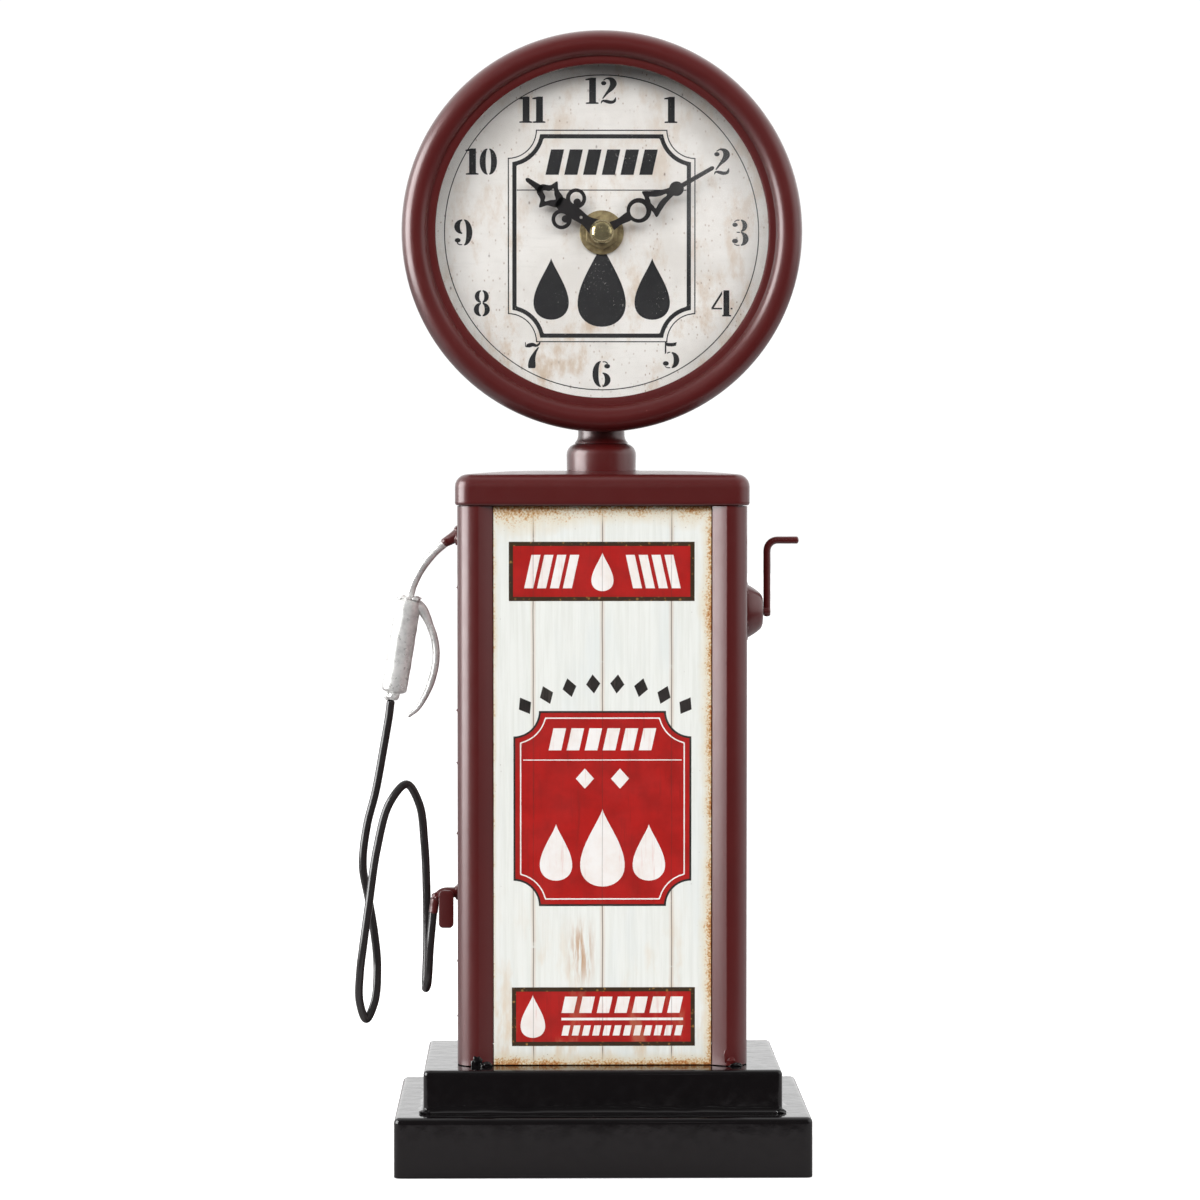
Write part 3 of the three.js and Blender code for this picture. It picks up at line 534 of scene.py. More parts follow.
def revolve(profile, axis="y", at=(0, 0, 0), steps=96, loop=False):
    """A turned mesh from [radius, distance along the axis] points. Ends on the axis are closed by fans."""
    rings = []
    for i in range(steps):
        a = 2 * math.pi * i / steps
        c, s = math.cos(a), math.sin(a)
        place = {"y": lambda r, t: (r * c, t, r * s), "z": lambda r, t: (r * c, r * s, t),
                 "x": lambda r, t: (t, r * c, r * s)}[axis]
        rings.append([Vector(place(max(r, 0), t)) + Vector(at) for r, t in profile])
    count = len(profile)
    vertices = [v for ring in rings for v in ring]
    faces = []
    for i in range(steps):
        a, b = i * count, (i + 1) % steps * count
        for j in range(count if loop else count - 1):
            k = (j + 1) % count
            corners = [a + j, a + k, b + k, b + j]
            if profile[k][0] <= 0:
                corners = [a + j, a + k, b + j]
            elif profile[j][0] <= 0:
                corners = [a + j, a + k, b + k]
            faces.append(tuple(corners))
    return raw(vertices, faces)


def rounded_rectangle(width, depth, corner, steps=8):
    """Points round a rectangle, counter-clockwise."""
    corner = max(corner, 0.05)
    x, y = width / 2 - corner, depth / 2 - corner
    points = []
    for quarter, (cx, cy) in enumerate([(x, y), (-x, y), (-x, -y), (x, -y)]):
        for i in range(steps + 1):
            a = math.pi / 2 * (quarter + i / steps)
            points.append((cx + corner * math.cos(a), cy + corner * math.sin(a)))
    return points


TIP = 0.55           # height of a wire's domed end, in radii


def spline(points, per_span=8):
    """Points along a centripetal curve through the given ones."""
    points = [Vector(p) for p in points]
    ends = [points[0] * 2 - points[1], *points, points[-1] * 2 - points[-2]]
    out = []
    for i in range(1, len(ends) - 2):
        p = ends[i - 1:i + 3]
        t = [0.0]
        for a, b in zip(p, p[1:]):
            t.append(t[-1] + max((b - a).length, 1e-6) ** 0.5)
        for step in range(per_span):
            u = t[1] + (t[2] - t[1]) * step / per_span
            q = [((t[k + 1] - u) * p[k] + (u - t[k]) * p[k + 1]) / (t[k + 1] - t[k]) for k in range(3)]
            r = [((t[k + 2] - u) * q[k] + (u - t[k]) * q[k + 1]) / (t[k + 2] - t[k]) for k in range(2)]
            out.append(((t[2] - u) * r[0] + (u - t[1]) * r[1]) / (t[2] - t[1]))
    return [*out, points[-1]]


def tube(points, radius, sides=20, per_span=8, flat=1.0, wobble=0.0):
    """A wire along points with domed ends. radius is a number or a function of the way along, 0 to 1."""
    path = spline(points, per_span)
    size = radius if callable(radius) else lambda _: radius
    lengths = [0.0]
    for a, b in zip(path, path[1:]):
        lengths.append(lengths[-1] + (b - a).length)
    end = len(path) - 1
    tangents = [(path[min(i + 1, end)] - path[max(i - 1, 0)]).normalized() for i in range(end + 1)]
    side = tangents[0].cross(Vector((0, 1, 0))).normalized()
    rings = []

    def ring(centre, tangent, scale):
        nonlocal side
        side = (side - tangent * side.dot(tangent)).normalized()
        other = tangent.cross(side)
        points_round = []
        for j in range(sides):
            a = 2 * math.pi * j / sides
            bulge = scale * (1 + wobble * noise.noise(centre * 0.35 + Vector((j * 0.4, 0, 0))))
            points_round.append(centre + side * (bulge * math.cos(a)) + other * (bulge * flat * math.sin(a)))
        rings.append(points_round)

    first, last = size(0), size(1)
    for a in (80, 55, 28):
        angle = math.radians(a)
        ring(path[0] - tangents[0] * math.sin(angle) * first * TIP, tangents[0], first * math.cos(angle))
    for centre, tangent, length in zip(path, tangents, lengths):
        ring(centre, tangent, size(length / lengths[-1]))
    for a in (28, 55, 80):
        angle = math.radians(a)
        ring(path[-1] + tangents[-1] * math.sin(angle) * last * TIP, tangents[-1], last * math.cos(angle))
    return loft(rings)


def lump(centre, radii, roughness, seed):
    """A bead of weld metal under thick paint: an uneven ball with its own radii along x, y and z."""
    work = bmesh.new()
    bmesh.ops.create_icosphere(work, subdivisions=4, radius=1)
    for vertex in work.verts:
        bump = 1 + roughness * noise.noise(vertex.co * 1.7 + Vector((seed * 3.1, seed, 0)))
        vertex.co = Vector([c * r for c, r in zip(vertex.co * bump, radii)])
        vertex.co = (vertex.co + Vector(centre)) * MM
    mesh = bpy.data.meshes.new("raw")
    work.to_mesh(mesh)
    work.free()
    return mesh


def flat_mesh(outlines, front, back, at=(0, HEAD_Z), turn=0.0, edge=0.0):
    """A plate from outlines of x and z (holes by even and odd), between two y places, turned clockwise."""
    curve = bpy.data.curves.new("outline", "CURVE")
    curve.dimensions = "2D"
    curve.fill_mode = "BOTH"
    curve.extrude = ((back - front) / 2 - edge) * MM
    curve.bevel_depth = edge * MM
    curve.offset = -edge * MM
    curve.bevel_resolution = 1
    for outline in outlines:
        line = curve.splines.new("POLY")
        line.points.add(len(outline) - 1)
        for point, (x, z) in zip(line.points, outline):
            point.co = (x * MM, z * MM, 0, 1)
        line.use_cyclic_u = True
    holder = bpy.data.objects.new("outline", curve)
    bpy.context.scene.collection.objects.link(holder)
    bpy.context.view_layer.update()
    graph = bpy.context.evaluated_depsgraph_get()
    mesh = bpy.data.meshes.new_from_object(holder.evaluated_get(graph))
    bpy.data.objects.remove(holder)
    stand = Matrix.Rotation(math.radians(90), 4, "X")
    spin = Matrix.Rotation(math.radians(turn), 4, "Y")
    move = Matrix.Translation(Vector((at[0], (front + back) / 2, at[1])) * MM)
    mesh.transform(move @ spin @ stand)
    return mesh


def join(*meshes):
    work = bmesh.new()
    for mesh in meshes:
        work.from_mesh(mesh)
    out = bpy.data.meshes.new("raw")
    work.to_mesh(out)
    work.free()
    return out


def lumps(*rows):
    """Beads as one mesh, from rows of centre, radii, roughness and seed."""
    return join(*(lump(*row) for row in rows))


def solve(operation, blank, tools):
    """Boolean of meshes, one tool after another."""
    holder = bpy.data.objects.new("blank", blank)
    bpy.context.scene.collection.objects.link(holder)
    helpers = []
    for tool in tools:
        helper = bpy.data.objects.new("tool", tool)
        bpy.context.scene.collection.objects.link(helper)
        helpers.append(helper)
        step = holder.modifiers.new("step", "BOOLEAN")
        step.operation = operation
        step.object = helper
        step.solver = "EXACT"
    bpy.context.view_layer.update()
    graph = bpy.context.evaluated_depsgraph_get()
    mesh = bpy.data.meshes.new_from_object(holder.evaluated_get(graph))
    for item in (holder, *helpers):
        bpy.data.objects.remove(item)
    return mesh


OUTLINE_STEPS = 6    # points of a smooth outline from one given point to the next


def circle(radius, at=(0, 0), steps=40, start=0.0, sweep=360.0):
    """Points of a circle or arc in x and z, counter-clockwise from +X."""
    closed = abs(sweep) >= 360
    count = steps if closed else steps + 1
    points = []
    for i in range(count):
        a = math.radians(start + sweep * i / steps)
        points.append((at[0] + radius * math.cos(a), at[1] + radius * math.sin(a)))
    return points


def smooth_outline(points):
    """A closed smooth outline through points."""
    count = len(points)
    out = []
    for i in range(count):
        p = [Vector(points[(i + k - 1) % count]) for k in range(4)]
        for step in range(OUTLINE_STEPS):
            u = step / OUTLINE_STEPS
            out.append(tuple(0.5 * ((2 * p[1]) + (p[2] - p[0]) * u
                             + (2 * p[0] - 5 * p[1] + 4 * p[2] - p[3]) * u * u
                             + (3 * p[1] - p[0] - 3 * p[2] + p[3]) * u ** 3)))
    return out


def stroke(points, widths):
    """The outline of a swelling pen stroke: points on its middle and half widths."""
    middle = spline([(x, z, w) for (x, z), w in zip(points, widths)], OUTLINE_STEPS)
    left, right = [], []
    for i, point in enumerate(middle):
        ahead, behind = middle[min(i + 1, len(middle) - 1)], middle[max(i - 1, 0)]
        along = Vector((ahead.x - behind.x, ahead.y - behind.y)).normalized()
        across = Vector((-along.y, along.x)) * max(point.z, 0.004)
        left.append((point.x + across.x, point.y + across.y))
        right.append((point.x - across.x, point.y - across.y))
    return left + right[::-1]


# ---- base -------------------------------------------------------------------------------------------

EDGE_STEPS = 6


def tray_rings(node, corner, edge, dome=(), foot=0.25):
    """Rings from the room's ceiling, under the wall and up over the rounded top edge."""
    x0, x1, y0, y1, z0, z1 = span(node)
    width, depth = x1 - x0, y1 - y0
    middle = ((x0 + x1) / 2, (y0 + y1) / 2)

    def ring(inset, z):
        plan = rounded_rectangle(width - 2 * inset, depth - 2 * inset, corner - inset, 10)
        return [(middle[0] + x, middle[1] + y, z) for x, y in plan]

    rings = [ring(SHEET + edge / 2, z1 - SHEET), ring(SHEET + edge / 2, z1 - edge), ring(SHEET, z1 - edge),
             ring(SHEET, z0), ring(foot, z0), ring(0.3 * foot, z0 + 0.3 * foot), ring(0, z0 + foot),
             ring(0, z0 + foot + 0.4), ring(0, z1 - edge - 0.4), ring(0, z1 - edge)]
    for i in range(1, EDGE_STEPS + 1):
        a = math.pi / 2 * i / EDGE_STEPS
        rings.append(ring(edge * (1 - math.cos(a)), z1 - edge * (1 - math.sin(a))))
    for inset, rise in dome or ((1.5, 0),):
        rings.append(ring(edge + inset, z1 + rise))
    return rings


def base():
    piece("base_lower_tray", loft(tray_rings("base_lower", 2.6, 1.9)), "black_gloss_paint",
          stands_for=["base_lower"], sharp=60)
    piece("base_upper_tray", loft(tray_rings("base_upper", 2.2, 1.6)), "black_gloss_paint",
          stands_for=["base_upper"], sharp=60)
    upper = span("base_upper")
    beads = []
    for i, (x, y) in enumerate([(upper[0], upper[2]), (upper[1], upper[2]), (upper[0], upper[3]),
                                (upper[1], upper[3])]):
        inward = [-math.copysign(0.9, x), -math.copysign(0.9, y)]
        beads.append(((x + inward[0], y + inward[1], upper[4] + 0.1), (2.2, 2.0, 1.0), 0.3, i))
    piece("base_weld_beads", lumps(*beads), "black_gloss_paint")
    plan = rounded_rectangle(upper[1] - upper[0], upper[3] - upper[2], 2.2, 4)
    seam = []
    for (xa, ya), (xb, yb) in zip(plan, plan[1:] + plan[:1]):
        steps = max(1, round(math.hypot(xb - xa, yb - ya) / 2))
        seam += [(xa + (xb - xa) * i / steps, ya + (yb - ya) * i / steps) for i in range(steps)]
    rings = []
    for i, (x, y) in enumerate(seam):
        ahead, behind = seam[(i + 1) % len(seam)], seam[i - 1]
        out = Vector((ahead[1] - behind[1], behind[0] - ahead[0], 0)).normalized()
        size = 2.3 * (1 + 0.5 * noise.noise(Vector((x, y, 0)) * 0.11))
        section = [(1 - math.sin(a), 1 - math.cos(a)) for a in [math.pi / 2 * k / 10 for k in range(11)]]
        section += [(-0.35, 1), (-0.35, -0.2), (1, -0.2)]
        corner = Vector((x, y, upper[4] - 0.3))
        rings.append([corner + (out * u + Vector((0, 0, v))) * size for u, v in section])
    piece("base_seam_paint", loft(rings, loop=True), "black_gloss_paint", sharp=60)
    black = lumps(((-44.6, BODY_FRONT + 0.9, BODY_Z0 + 0.6), (2.2, 1.3, 3.4), 0.35, 7),
                  ((-41.2, BODY_FRONT + 0.5, BODY_Z0 + 0.1), (2.4, 1.2, 1.2), 0.35, 8),
                  ((46.5, BODY_FRONT + 1.2, BODY_Z0 + 0.1), (2.6, 1.4, 0.9), 0.35, 9))
    piece("column_foot_paint", black, "black_gloss_paint")
    red = lumps(((43.6, BODY_FRONT + 0.25, BODY_Z0 + 3.2), (0.9, 0.5, 2.3), 0.3, 3),
                ((45.3, BODY_FRONT + 0.4, BODY_Z0 + 1.6), (1.6, 0.6, 1.3), 0.3, 4))
    piece("column_foot_drip", red, "burgundy_paint")


# ---- pump body --------------------------------------------------------------------------------------

COLUMN = 12.55       # from the side wall to the lip beside the panel
ROLL = 7.2           # radius of the rolled front corner
BEND_STEPS = 20


def shell(side):
    """A side wall, its rolled front corner, the slant back to the panel and the lip beside it."""
    outer = abs(BODY_X0)
    inner = outer - COLUMN
    back = BODY_BACK - SHEET - 0.3
    lip, edge = PANEL[2] + SHEET, PANEL[2] - 0.3
    centre = (outer - ROLL, BODY_FRONT + ROLL)

    def arc(radius):
        angles = [-math.pi / 2 * i / BEND_STEPS for i in range(BEND_STEPS + 1)]
        return [(centre[0] + radius * math.cos(a), centre[1] + radius * math.sin(a)) for a in angles]

    slope = (edge - BODY_FRONT) / (centre[0] - inner)
    crest = [(centre[0] - x, BODY_FRONT + slope * max(0, x - 0.2)) for x in (0.2, 0.45, 0.8, 4.6)]
    plan = [(outer, back), (outer, centre[1] + 0.6), *arc(ROLL), *crest, (inner + 0.35, edge - 0.15),
            (inner + 0.08, edge), (inner, edge + 0.25), (inner, lip),
            (inner + SHEET, lip), (inner + SHEET, edge + 0.5 * SHEET), *arc(ROLL - SHEET)[::-1],
            (outer - SHEET, back)]
    heights = [BODY_Z0 + (BODY_Z1 - BODY_Z0) * i / 6 for i in range(7)]
    return loft([[(side * x, y, z) for x, y in plan] for z in heights])


def body():
    for side, label in ((-1, "left"), (1, "right")):
        piece(f"{label}_shell", shell(side), "burgundy_paint", stands_for=[f"body_{label}_shell"], sharp=40)
    x0, x1, y0, y1, z0, z1 = span("body_back_panel")
    plan = [(x0 + 0.4, y0), (x0, y0 + 0.4), (x0, y1 - 0.4), (x0 + 0.4, y1), (x1 - 0.4, y1), (x1, y1 - 0.4),
            (x1, y0 + 0.4), (x1 - 0.4, y0)]
    back = loft([[(x, y, z) for x, y in plan] for z in (z0, z0 + 0.01, z1 - 0.01, z1)])
    piece("back_sheet", back, "burgundy_paint", stands_for=["body_back_panel"], sharp=30)
    dome = [(inset, 1.3 * (1 - (1 - inset / 26) ** 2)) for inset in (0.8, 3, 6, 10, 15, 20, 26)]
    cap = loft(tray_rings("top_cap", 6, 4.4, dome, foot=0.9))
    piece("cap", cap, "burgundy_paint", stands_for=["top_cap"], sharp=60)
    nibs = [((WALL + 0.15, -18 + 5 * math.sin(z), z), (0.5, 0.6, r), 0.3, int(z))
            for z, r in ((239, 0.5), (205, 0.5), (161.6, 0.6), (143, 0.4), (118, 0.5), (72, 0.5), (52, 0.6))]
    piece("paint_nibs", lumps(*nibs), "burgundy_paint")


# ---- printed art ------------------------------------------------------------------------------------


def ticket(half_width, top, bottom, scoop, inset=0.0):
    """A plaque with scooped corners, in x and z."""
    x, z1, z0, r = half_width - inset, top - inset, bottom + inset, scoop + inset
    corners = [(half_width, top, 270), (-half_width, top, 0), (-half_width, bottom, 90),
               (half_width, bottom, 180)]
    points = []
    for cx, cz, start in corners:
        for i in range(13):
            a = math.radians(start - 90 * i / 12)
            px, pz = cx + r * math.cos(a), cz + r * math.sin(a)
            points.append((max(-x, min(x, px)), max(z0, min(z1, pz))))
    return points


def box_outline(x0, x1, z0, z1):
    return [(x0, z0), (x1, z0), (x1, z1), (x0, z1)]


def drop(x, z, height):
    """A fuel drop that stands on z, its point up."""
    r = height * 0.34
    shape = []
    for i in range(48):
        a = 2 * math.pi * i / 48
        width = math.sin(a) * (math.sin(a / 2) ** 1.6)
        shape.append((x + r * 1.22 * width, z + height / 2 + height / 2 * math.cos(a)))
    return shape


def bars(x0, x1, z0, z1, count, gap=0.3, slant=0.22):
    """A row of slanting bars."""
    lean = (z1 - z0) * slant
    pitch = (x1 - x0 - abs(lean)) / (count - gap)
    width = pitch * (1 - gap)
    low, high = max(-lean, 0), max(lean, 0)
    out = []
    for i in range(count):
        left = x0 + i * pitch
        out.append([(left + low, z0), (left + low + width, z0), (left + high + width, z1), (left + high, z1)])
    return out


def lozenge(x, z, half_width, half_height, turn=0.0):
    c, s = math.cos(math.radians(turn)), math.sin(math.radians(turn))
    corners = [(half_width, 0), (0, half_height), (-half_width, 0), (0, -half_height)]
    return [(x + a * c - b * s, z + a * s + b * c) for a, b in corners]


PANEL_FACE = PANEL[2]


def tin(name, outlines, finish, layer):
    front = PANEL_FACE - INK * layer
    piece(name, flat_mesh(outlines, front, front + INK * 0.9, at=(0, 0)), finish)


def nameplate(name, x0, x1, z0, z1, art):
    """A red plate with a beaded border and white ornament."""
    rim = 1.5
    tin(f"{name}_border", [box_outline(x0, x1, z0, z1),
                           box_outline(x0 + rim, x1 - rim, z0 + rim, z1 - rim)], "tin_border", 1)
    tin(f"{name}_red", [box_outline(x0 + rim, x1 - rim, z0 + rim, z1 - rim)], "tin_red", 1)
    tin(f"{name}_white", art, "tin_white", 2)


def front_art():
    x0, x1, y0, y1, z0, z1 = PANEL
    sheet = loft([[(x, y, z) for x, y in ((x0, y1), (x0, y0), (x1, y0), (x1, y1))] for z in (z0, z1)])
    piece("front_sheet", sheet, "printed_tin", stands_for=["front_panel"])
    top = [*bars(-27.6, -8.2, 204.8, 216.6, 4), drop(0, 203.8, 13.6),
           *bars(8.2, 27.6, 204.8, 216.6, 4, slant=-0.22)]
    nameplate("top_plate", -33, 32.5, 200.3, 221.2, top)
    low = [drop(-24.6, 45.8, 15.2), *bars(-14.5, 28.5, 54.6, 60.4, 7), box_outline(-14.5, 28.5, 52, 52.9),
           *bars(-14.5, 28.5, 46.6, 50.2, 12, 0.35)]
    nameplate("low_plate", -32, 32.7, 42.9, 63.7, low)
    arch = []
    for i in range(8):
        a = math.radians(90 + 31 * (1 - 2 * i / 7))
        arch.append(lozenge(1 + 55 * math.cos(a), 116.2 + 55 * math.sin(a), 2.5, 3.4, math.degrees(a) - 90))
    tin("arch_marks", arch, "tin_dark", 1)
    hw, zt, zb, scoop = 31.4, 161.5, 92.5, 9
    outer = ticket(hw, zt, zb, scoop)
    tin("emblem_edge", [outer, ticket(hw, zt, zb, scoop, 0.7)], "tin_dark", 1)
    tin("emblem_red", [ticket(hw, zt, zb, scoop, 0.7)], "tin_red", 1)
    white = [ticket(hw, zt, zb, scoop, 2.3), ticket(hw, zt, zb, scoop, 2.75)]
    white.append(box_outline(-28, 28, 144.0, 144.35))
    white += bars(-19, 19, 147.6, 155.4, 6)
    white += [lozenge(-6.2, 137.6, 3.2, 3.6), lozenge(6.2, 137.6, 3.2, 3.6)]
    white += [drop(0, 99.4, 27.5), drop(-16.4, 101.5, 20), drop(16.4, 101.5, 20)]
    tin("emblem_white", white, "tin_white", 2)


# ---- dial -------------------------------------------------------------------------------------------


STENCIL_CUT = 0.025  # half the gap between a stencil numeral's halves, in numeral heights


def half_lobe(side, cz, rx, rz, ix, iz):
    """Half of a thick oval, right (1) or left (-1), beside the stencil's gap."""
    outer = [(side * (STENCIL_CUT + rx * math.cos(a)), cz + rz * math.sin(a))
             for a in [math.pi * (i / 18 - 0.5) for i in range(19)]]
    inner = [(side * (STENCIL_CUT + ix * math.cos(a)), cz + iz * math.sin(a))
             for a in [math.pi * (0.5 - i / 18) for i in range(19)]]
    return outer + inner


def ball(x, z, radius=0.08):
    return circle(radius, (x, z), 18)


def glyphs():
    """Stencil numerals on a grid one unit high, each a list of outlines about x = 0."""
    one = [(-0.19, 0), (0.19, 0), (0.19, 0.05), (0.115, 0.07), (0.115, 1), (-0.03, 1), (-0.2, 0.95),
           (-0.2, 0.9), (-0.09, 0.9), (-0.09, 0.07), (-0.19, 0.05)]
    two = [ball(-0.14, 0.79),
           stroke([(-0.15, 0.9), (-0.04, 0.975), (0.09, 0.93), (0.15, 0.78), (0.09, 0.6), (-0.05, 0.4),
                   (-0.17, 0.2)], [0.015, 0.03, 0.075, 0.1, 0.08, 0.04, 0.02]),
           stroke([(-0.22, 0.02), (-0.17, 0.115), (-0.06, 0.1), (0.06, 0.065), (0.17, 0.1), (0.22, 0.25)],
                  [0.01, 0.035, 0.06, 0.065, 0.05, 0.012])]
    foot = stroke([(-0.18, 0.07), (-0.1, 0.02), (-0.02, 0.02)], [0.012, 0.02, 0.022])
    three = [half_lobe(1, 0.765, 0.19, 0.235, 0.05, 0.185), half_lobe(1, 0.265, 0.23, 0.265, 0.06, 0.215),
             ball(-0.15, 0.80), ball(-0.15, 0.18, 0.09),
             stroke([(-0.18, 0.905), (-0.1, 0.97), (-0.02, 0.98)], [0.012, 0.02, 0.022]), foot,
             box_outline(-0.1, 0, 0.49, 0.535)]
    four = [[(0.02, 0), (0.29, 0), (0.29, 0.05), (0.235, 0.07), (0.235, 1), (0.06, 1), (0.06, 0.07),
             (0.02, 0.05)],
            [(0.02, 0.98), (-0.3, 0.34), (-0.3, 0.27), (0.02, 0.27), (0.02, 0.33), (-0.23, 0.33),
             (0.02, 0.84)],
            box_outline(0.275, 0.33, 0.27, 0.33)]
    five = [[(-0.18, 1), (-0.06, 0.965), (0.06, 0.965), (0.18, 1), (0.15, 0.86), (0.03, 0.83), (-0.09, 0.84),
             (-0.135, 0.86), (-0.135, 0.58), (-0.18, 0.54)],
            half_lobe(1, 0.31, 0.23, 0.31, 0.06, 0.25), ball(-0.15, 0.18, 0.09),
            stroke([(-0.11, 0.57), (-0.06, 0.605), (-0.015, 0.61)], [0.018, 0.022, 0.022]), foot]
    six = [half_lobe(-1, 0.5, 0.25, 0.5, 0.07, 0.45), half_lobe(1, 0.28, 0.24, 0.28, 0.07, 0.225),
           ball(0.165, 0.80, 0.088), stroke([(0.03, 0.965), (0.11, 0.965), (0.18, 0.9)], [0.02, 0.022, 0.02])]
    seven = [stroke([(-0.21, 0.99), (-0.2, 0.83), (-0.12, 0.86), (0.0, 0.9), (0.12, 0.86), (0.2, 0.93),
                     (0.23, 1.0)], [0.012, 0.02, 0.075, 0.07, 0.045, 0.03, 0.012]),
             stroke([(0.18, 0.8), (0.08, 0.6), (0.0, 0.36), (-0.02, 0.1), (-0.02, 0.0)],
                    [0.02, 0.045, 0.085, 0.115, 0.1])]
    eight = [half_lobe(side, *lobe) for side in (-1, 1)
             for lobe in ((0.76, 0.185, 0.24, 0.05, 0.185), (0.26, 0.215, 0.26, 0.06, 0.205))]
    nine = [[(-x, 1 - z) for x, z in outline] for outline in six]
    nought = [half_lobe(side, 0.5, 0.235, 0.5, 0.055, 0.455) for side in (-1, 1)]
    return dict(zip("0123456789", (nought, [one], two, three, four, five, six, seven, eight, nine)))


NUMERAL_HEIGHT = 9.3
NUMERAL_RADIUS = 50.3
SQUEEZE = 0.98       # how much nearer the numerals stand sideways than up and down
BOLD = 1.28          # how much wider the numerals are than their grid
NARROW, WIDE = 0.40, 0.57           # a one's width and any other numeral's, in numeral heights


def ink(name, outlines):
    front = DIAL_FACE - INK
    piece(name, flat_mesh(outlines, front, front + INK * 0.9), "dial_ink")


def numerals():
    shapes = glyphs()
    for hour in range(1, 13):
        text = str(hour)
        a = math.radians(30 * hour)
        across, up = SQUEEZE * NUMERAL_RADIUS * math.sin(a), NUMERAL_RADIUS * math.cos(a)
        widths = [(NARROW if c == "1" else WIDE) * BOLD for c in text]
        left = -sum(widths) / 2
        outlines = []
        for character, width in zip(text, widths):
            middle = left + width / 2
            left += width
            for outline in shapes[character]:
                outlines.append([(across + (middle + x * BOLD) * NUMERAL_HEIGHT,
                                  up + (z - 0.5) * NUMERAL_HEIGHT) for x, z in outline])
        ink(f"numeral_{hour}", outlines)


def dial():
    x0, x1, y0, y1, _, _ = span("dial_plate")
    radius = (x1 - x0) / 2
    profile = [(4.2, y0 + 0.1), (4.3, y0), (radius - 0.1, y0), (radius, y0 + 0.1), (radius, y1), (4.2, y1)]
    piece("dial_disc", revolve(profile, at=HEAD, steps=128, loop=True), "dial_card",
          stands_for=["dial_plate"])
    numerals()
    hw, top, low, scoop = 33.4, 36.5, -39, 10
    ink("dial_outline_thin", [ticket(hw, top, low, scoop), ticket(hw, top, low, scoop, 0.4)])
    ink("dial_outline_thick", [ticket(hw, top, low, scoop, 1.6), ticket(hw, top, low, scoop, 3.1)])
    # A thin dark ink ring round the dial's edge is painted shade: it stands in for the dark gap between the
    # dial and the clear spacer ring.
    ink("dial_edge_shade_line", [circle(56.1, steps=128), circle(55.75, steps=128)])
    ink("dial_rule", [box_outline(-30.2, 30.2, 14.9, 15.25)])
    ink("dial_bars", bars(-20, 20, 20.5, 29.5, 6))
    ink("dial_drops", [drop(0, -33.5, 30), drop(-18, -31, 22), drop(18, -31, 22)])


# ---- head -------------------------------------------------------------------------------------------


def head():
    outer, front = (HEAD_BOX[1] - HEAD_BOX[0]) / 2, HEAD_BOX[2]
    opening, rebate = 58.9, 60.8
    roll, bulge = 5.0, -16 - front
    profile = [(rebate, -15.4), (rebate, -18.0), (opening + 0.2, -18.0), (opening, -18.15),
               (opening + 0.1, -18.4), (59.5, -18.65), (60.4, -18.8), (61.1, -18.75)]
    middle = outer - roll
    for i in range(29):
        a = math.radians(153 - 153 * i / 28)
        profile.append((middle + roll * math.cos(a), -16 - bulge * math.sin(a)))
    profile += [(outer, -14.9), (outer - 0.25, -14.2), (69.4, -13.6), (69.1, -13.2), (69.1, -9.2),
                (68.9, -9), (68.3, -9), (68.3, -15.4)]
    piece("bezel_ring", revolve(profile, at=HEAD, steps=160, loop=True), "burgundy_paint",
          stands_for=["head_bezel"], sharp=24)

    r, y0, y1 = 68, -15.1, 21
    drum = [(r - 0.8, y0), (r - 0.2, y0), (r, y0 + 0.2), (r, y1 - 1.2), (r - 0.35, y1 - 0.35), (r - 1.2, y1),
            (60.2, y1), (60, y1 - 0.2), (60, y1 - 1), (r - 0.8, y1 - 1), (r - 0.8, -2.4), (55, -2.4),
            (55, -3.4), (r - 0.8, -3.4)]
    piece("drum_shell", revolve(drum, at=HEAD, steps=128, loop=True), "burgundy_paint",
          stands_for=["head_drum"])

    lens_r, l0, l1 = (LENS[1] - LENS[0]) / 2, LENS[2], LENS[3]
    lens = [(0, l0), (lens_r - 0.5, l0), (lens_r - 0.15, l0 + 0.12), (lens_r, l0 + 0.4),
            (lens_r, l1 - 0.3), (lens_r - 0.2, l1), (0, l1)]
    piece("lens", revolve(lens, at=HEAD, steps=128), "glass", stands_for=["glass_lens"], sharp=10)
    s0, s1, sa, sb = -15.4, -5.0, 56.4, 60.3
    spacer = [(sa, s0 + 2.6), (sa + 0.3, s0 + 2.3), (sa + 0.9, s0 + 2.3), (sa + 1.2, s0 + 0.4),
              (sa + 1.6, s0), (sb - 0.3, s0), (sb, s0 + 0.3), (sb, s1), (sa, s1)]
    piece("spacer", revolve(spacer, at=HEAD, steps=128, loop=True), "clear_plastic",
          stands_for=["spacer_ring"])

    places = [(63.5 * math.cos(math.radians(45 + 90 * i)), 63.5 * math.sin(math.radians(45 + 90 * i)))
              for i in range(4)]
    holes = [circle(1.6, place, 24) for place in places]
    cover = flat_mesh([circle(68, steps=128), rounded_rectangle(60, 60, 1.4), *holes], 21.3, 22.3, edge=0.15)
    piece("back_cover", cover, "burgundy_paint", stands_for=["rear_cover"], sharp=12)
    for i, (x, z) in enumerate(places):
        shank = [(0, 17.6), (1.0, 17.6), (1.2, 18), (1.2, 22.6), (2.7, 22.6), (2.7, 22.9), (2.45, 23.6),
                 (1.7, 24.1), (0, 24.3)]
        screw = revolve(shank, at=(x, 0, HEAD_Z + z), steps=32)
        turn = random.uniform(0, 90)
        slot = box_outline(-1.5, 1.5, -0.26, 0.26)
        slots = [flat_mesh([slot], 23.3, 25, at=(x, HEAD_Z + z), turn=turn + t) for t in (0, 90)]
        piece(f"cover_screw_{i + 1}", solve("DIFFERENCE", screw, slots), "steel",
              stands_for=[f"rear_cover_screw_{i + 1}"])


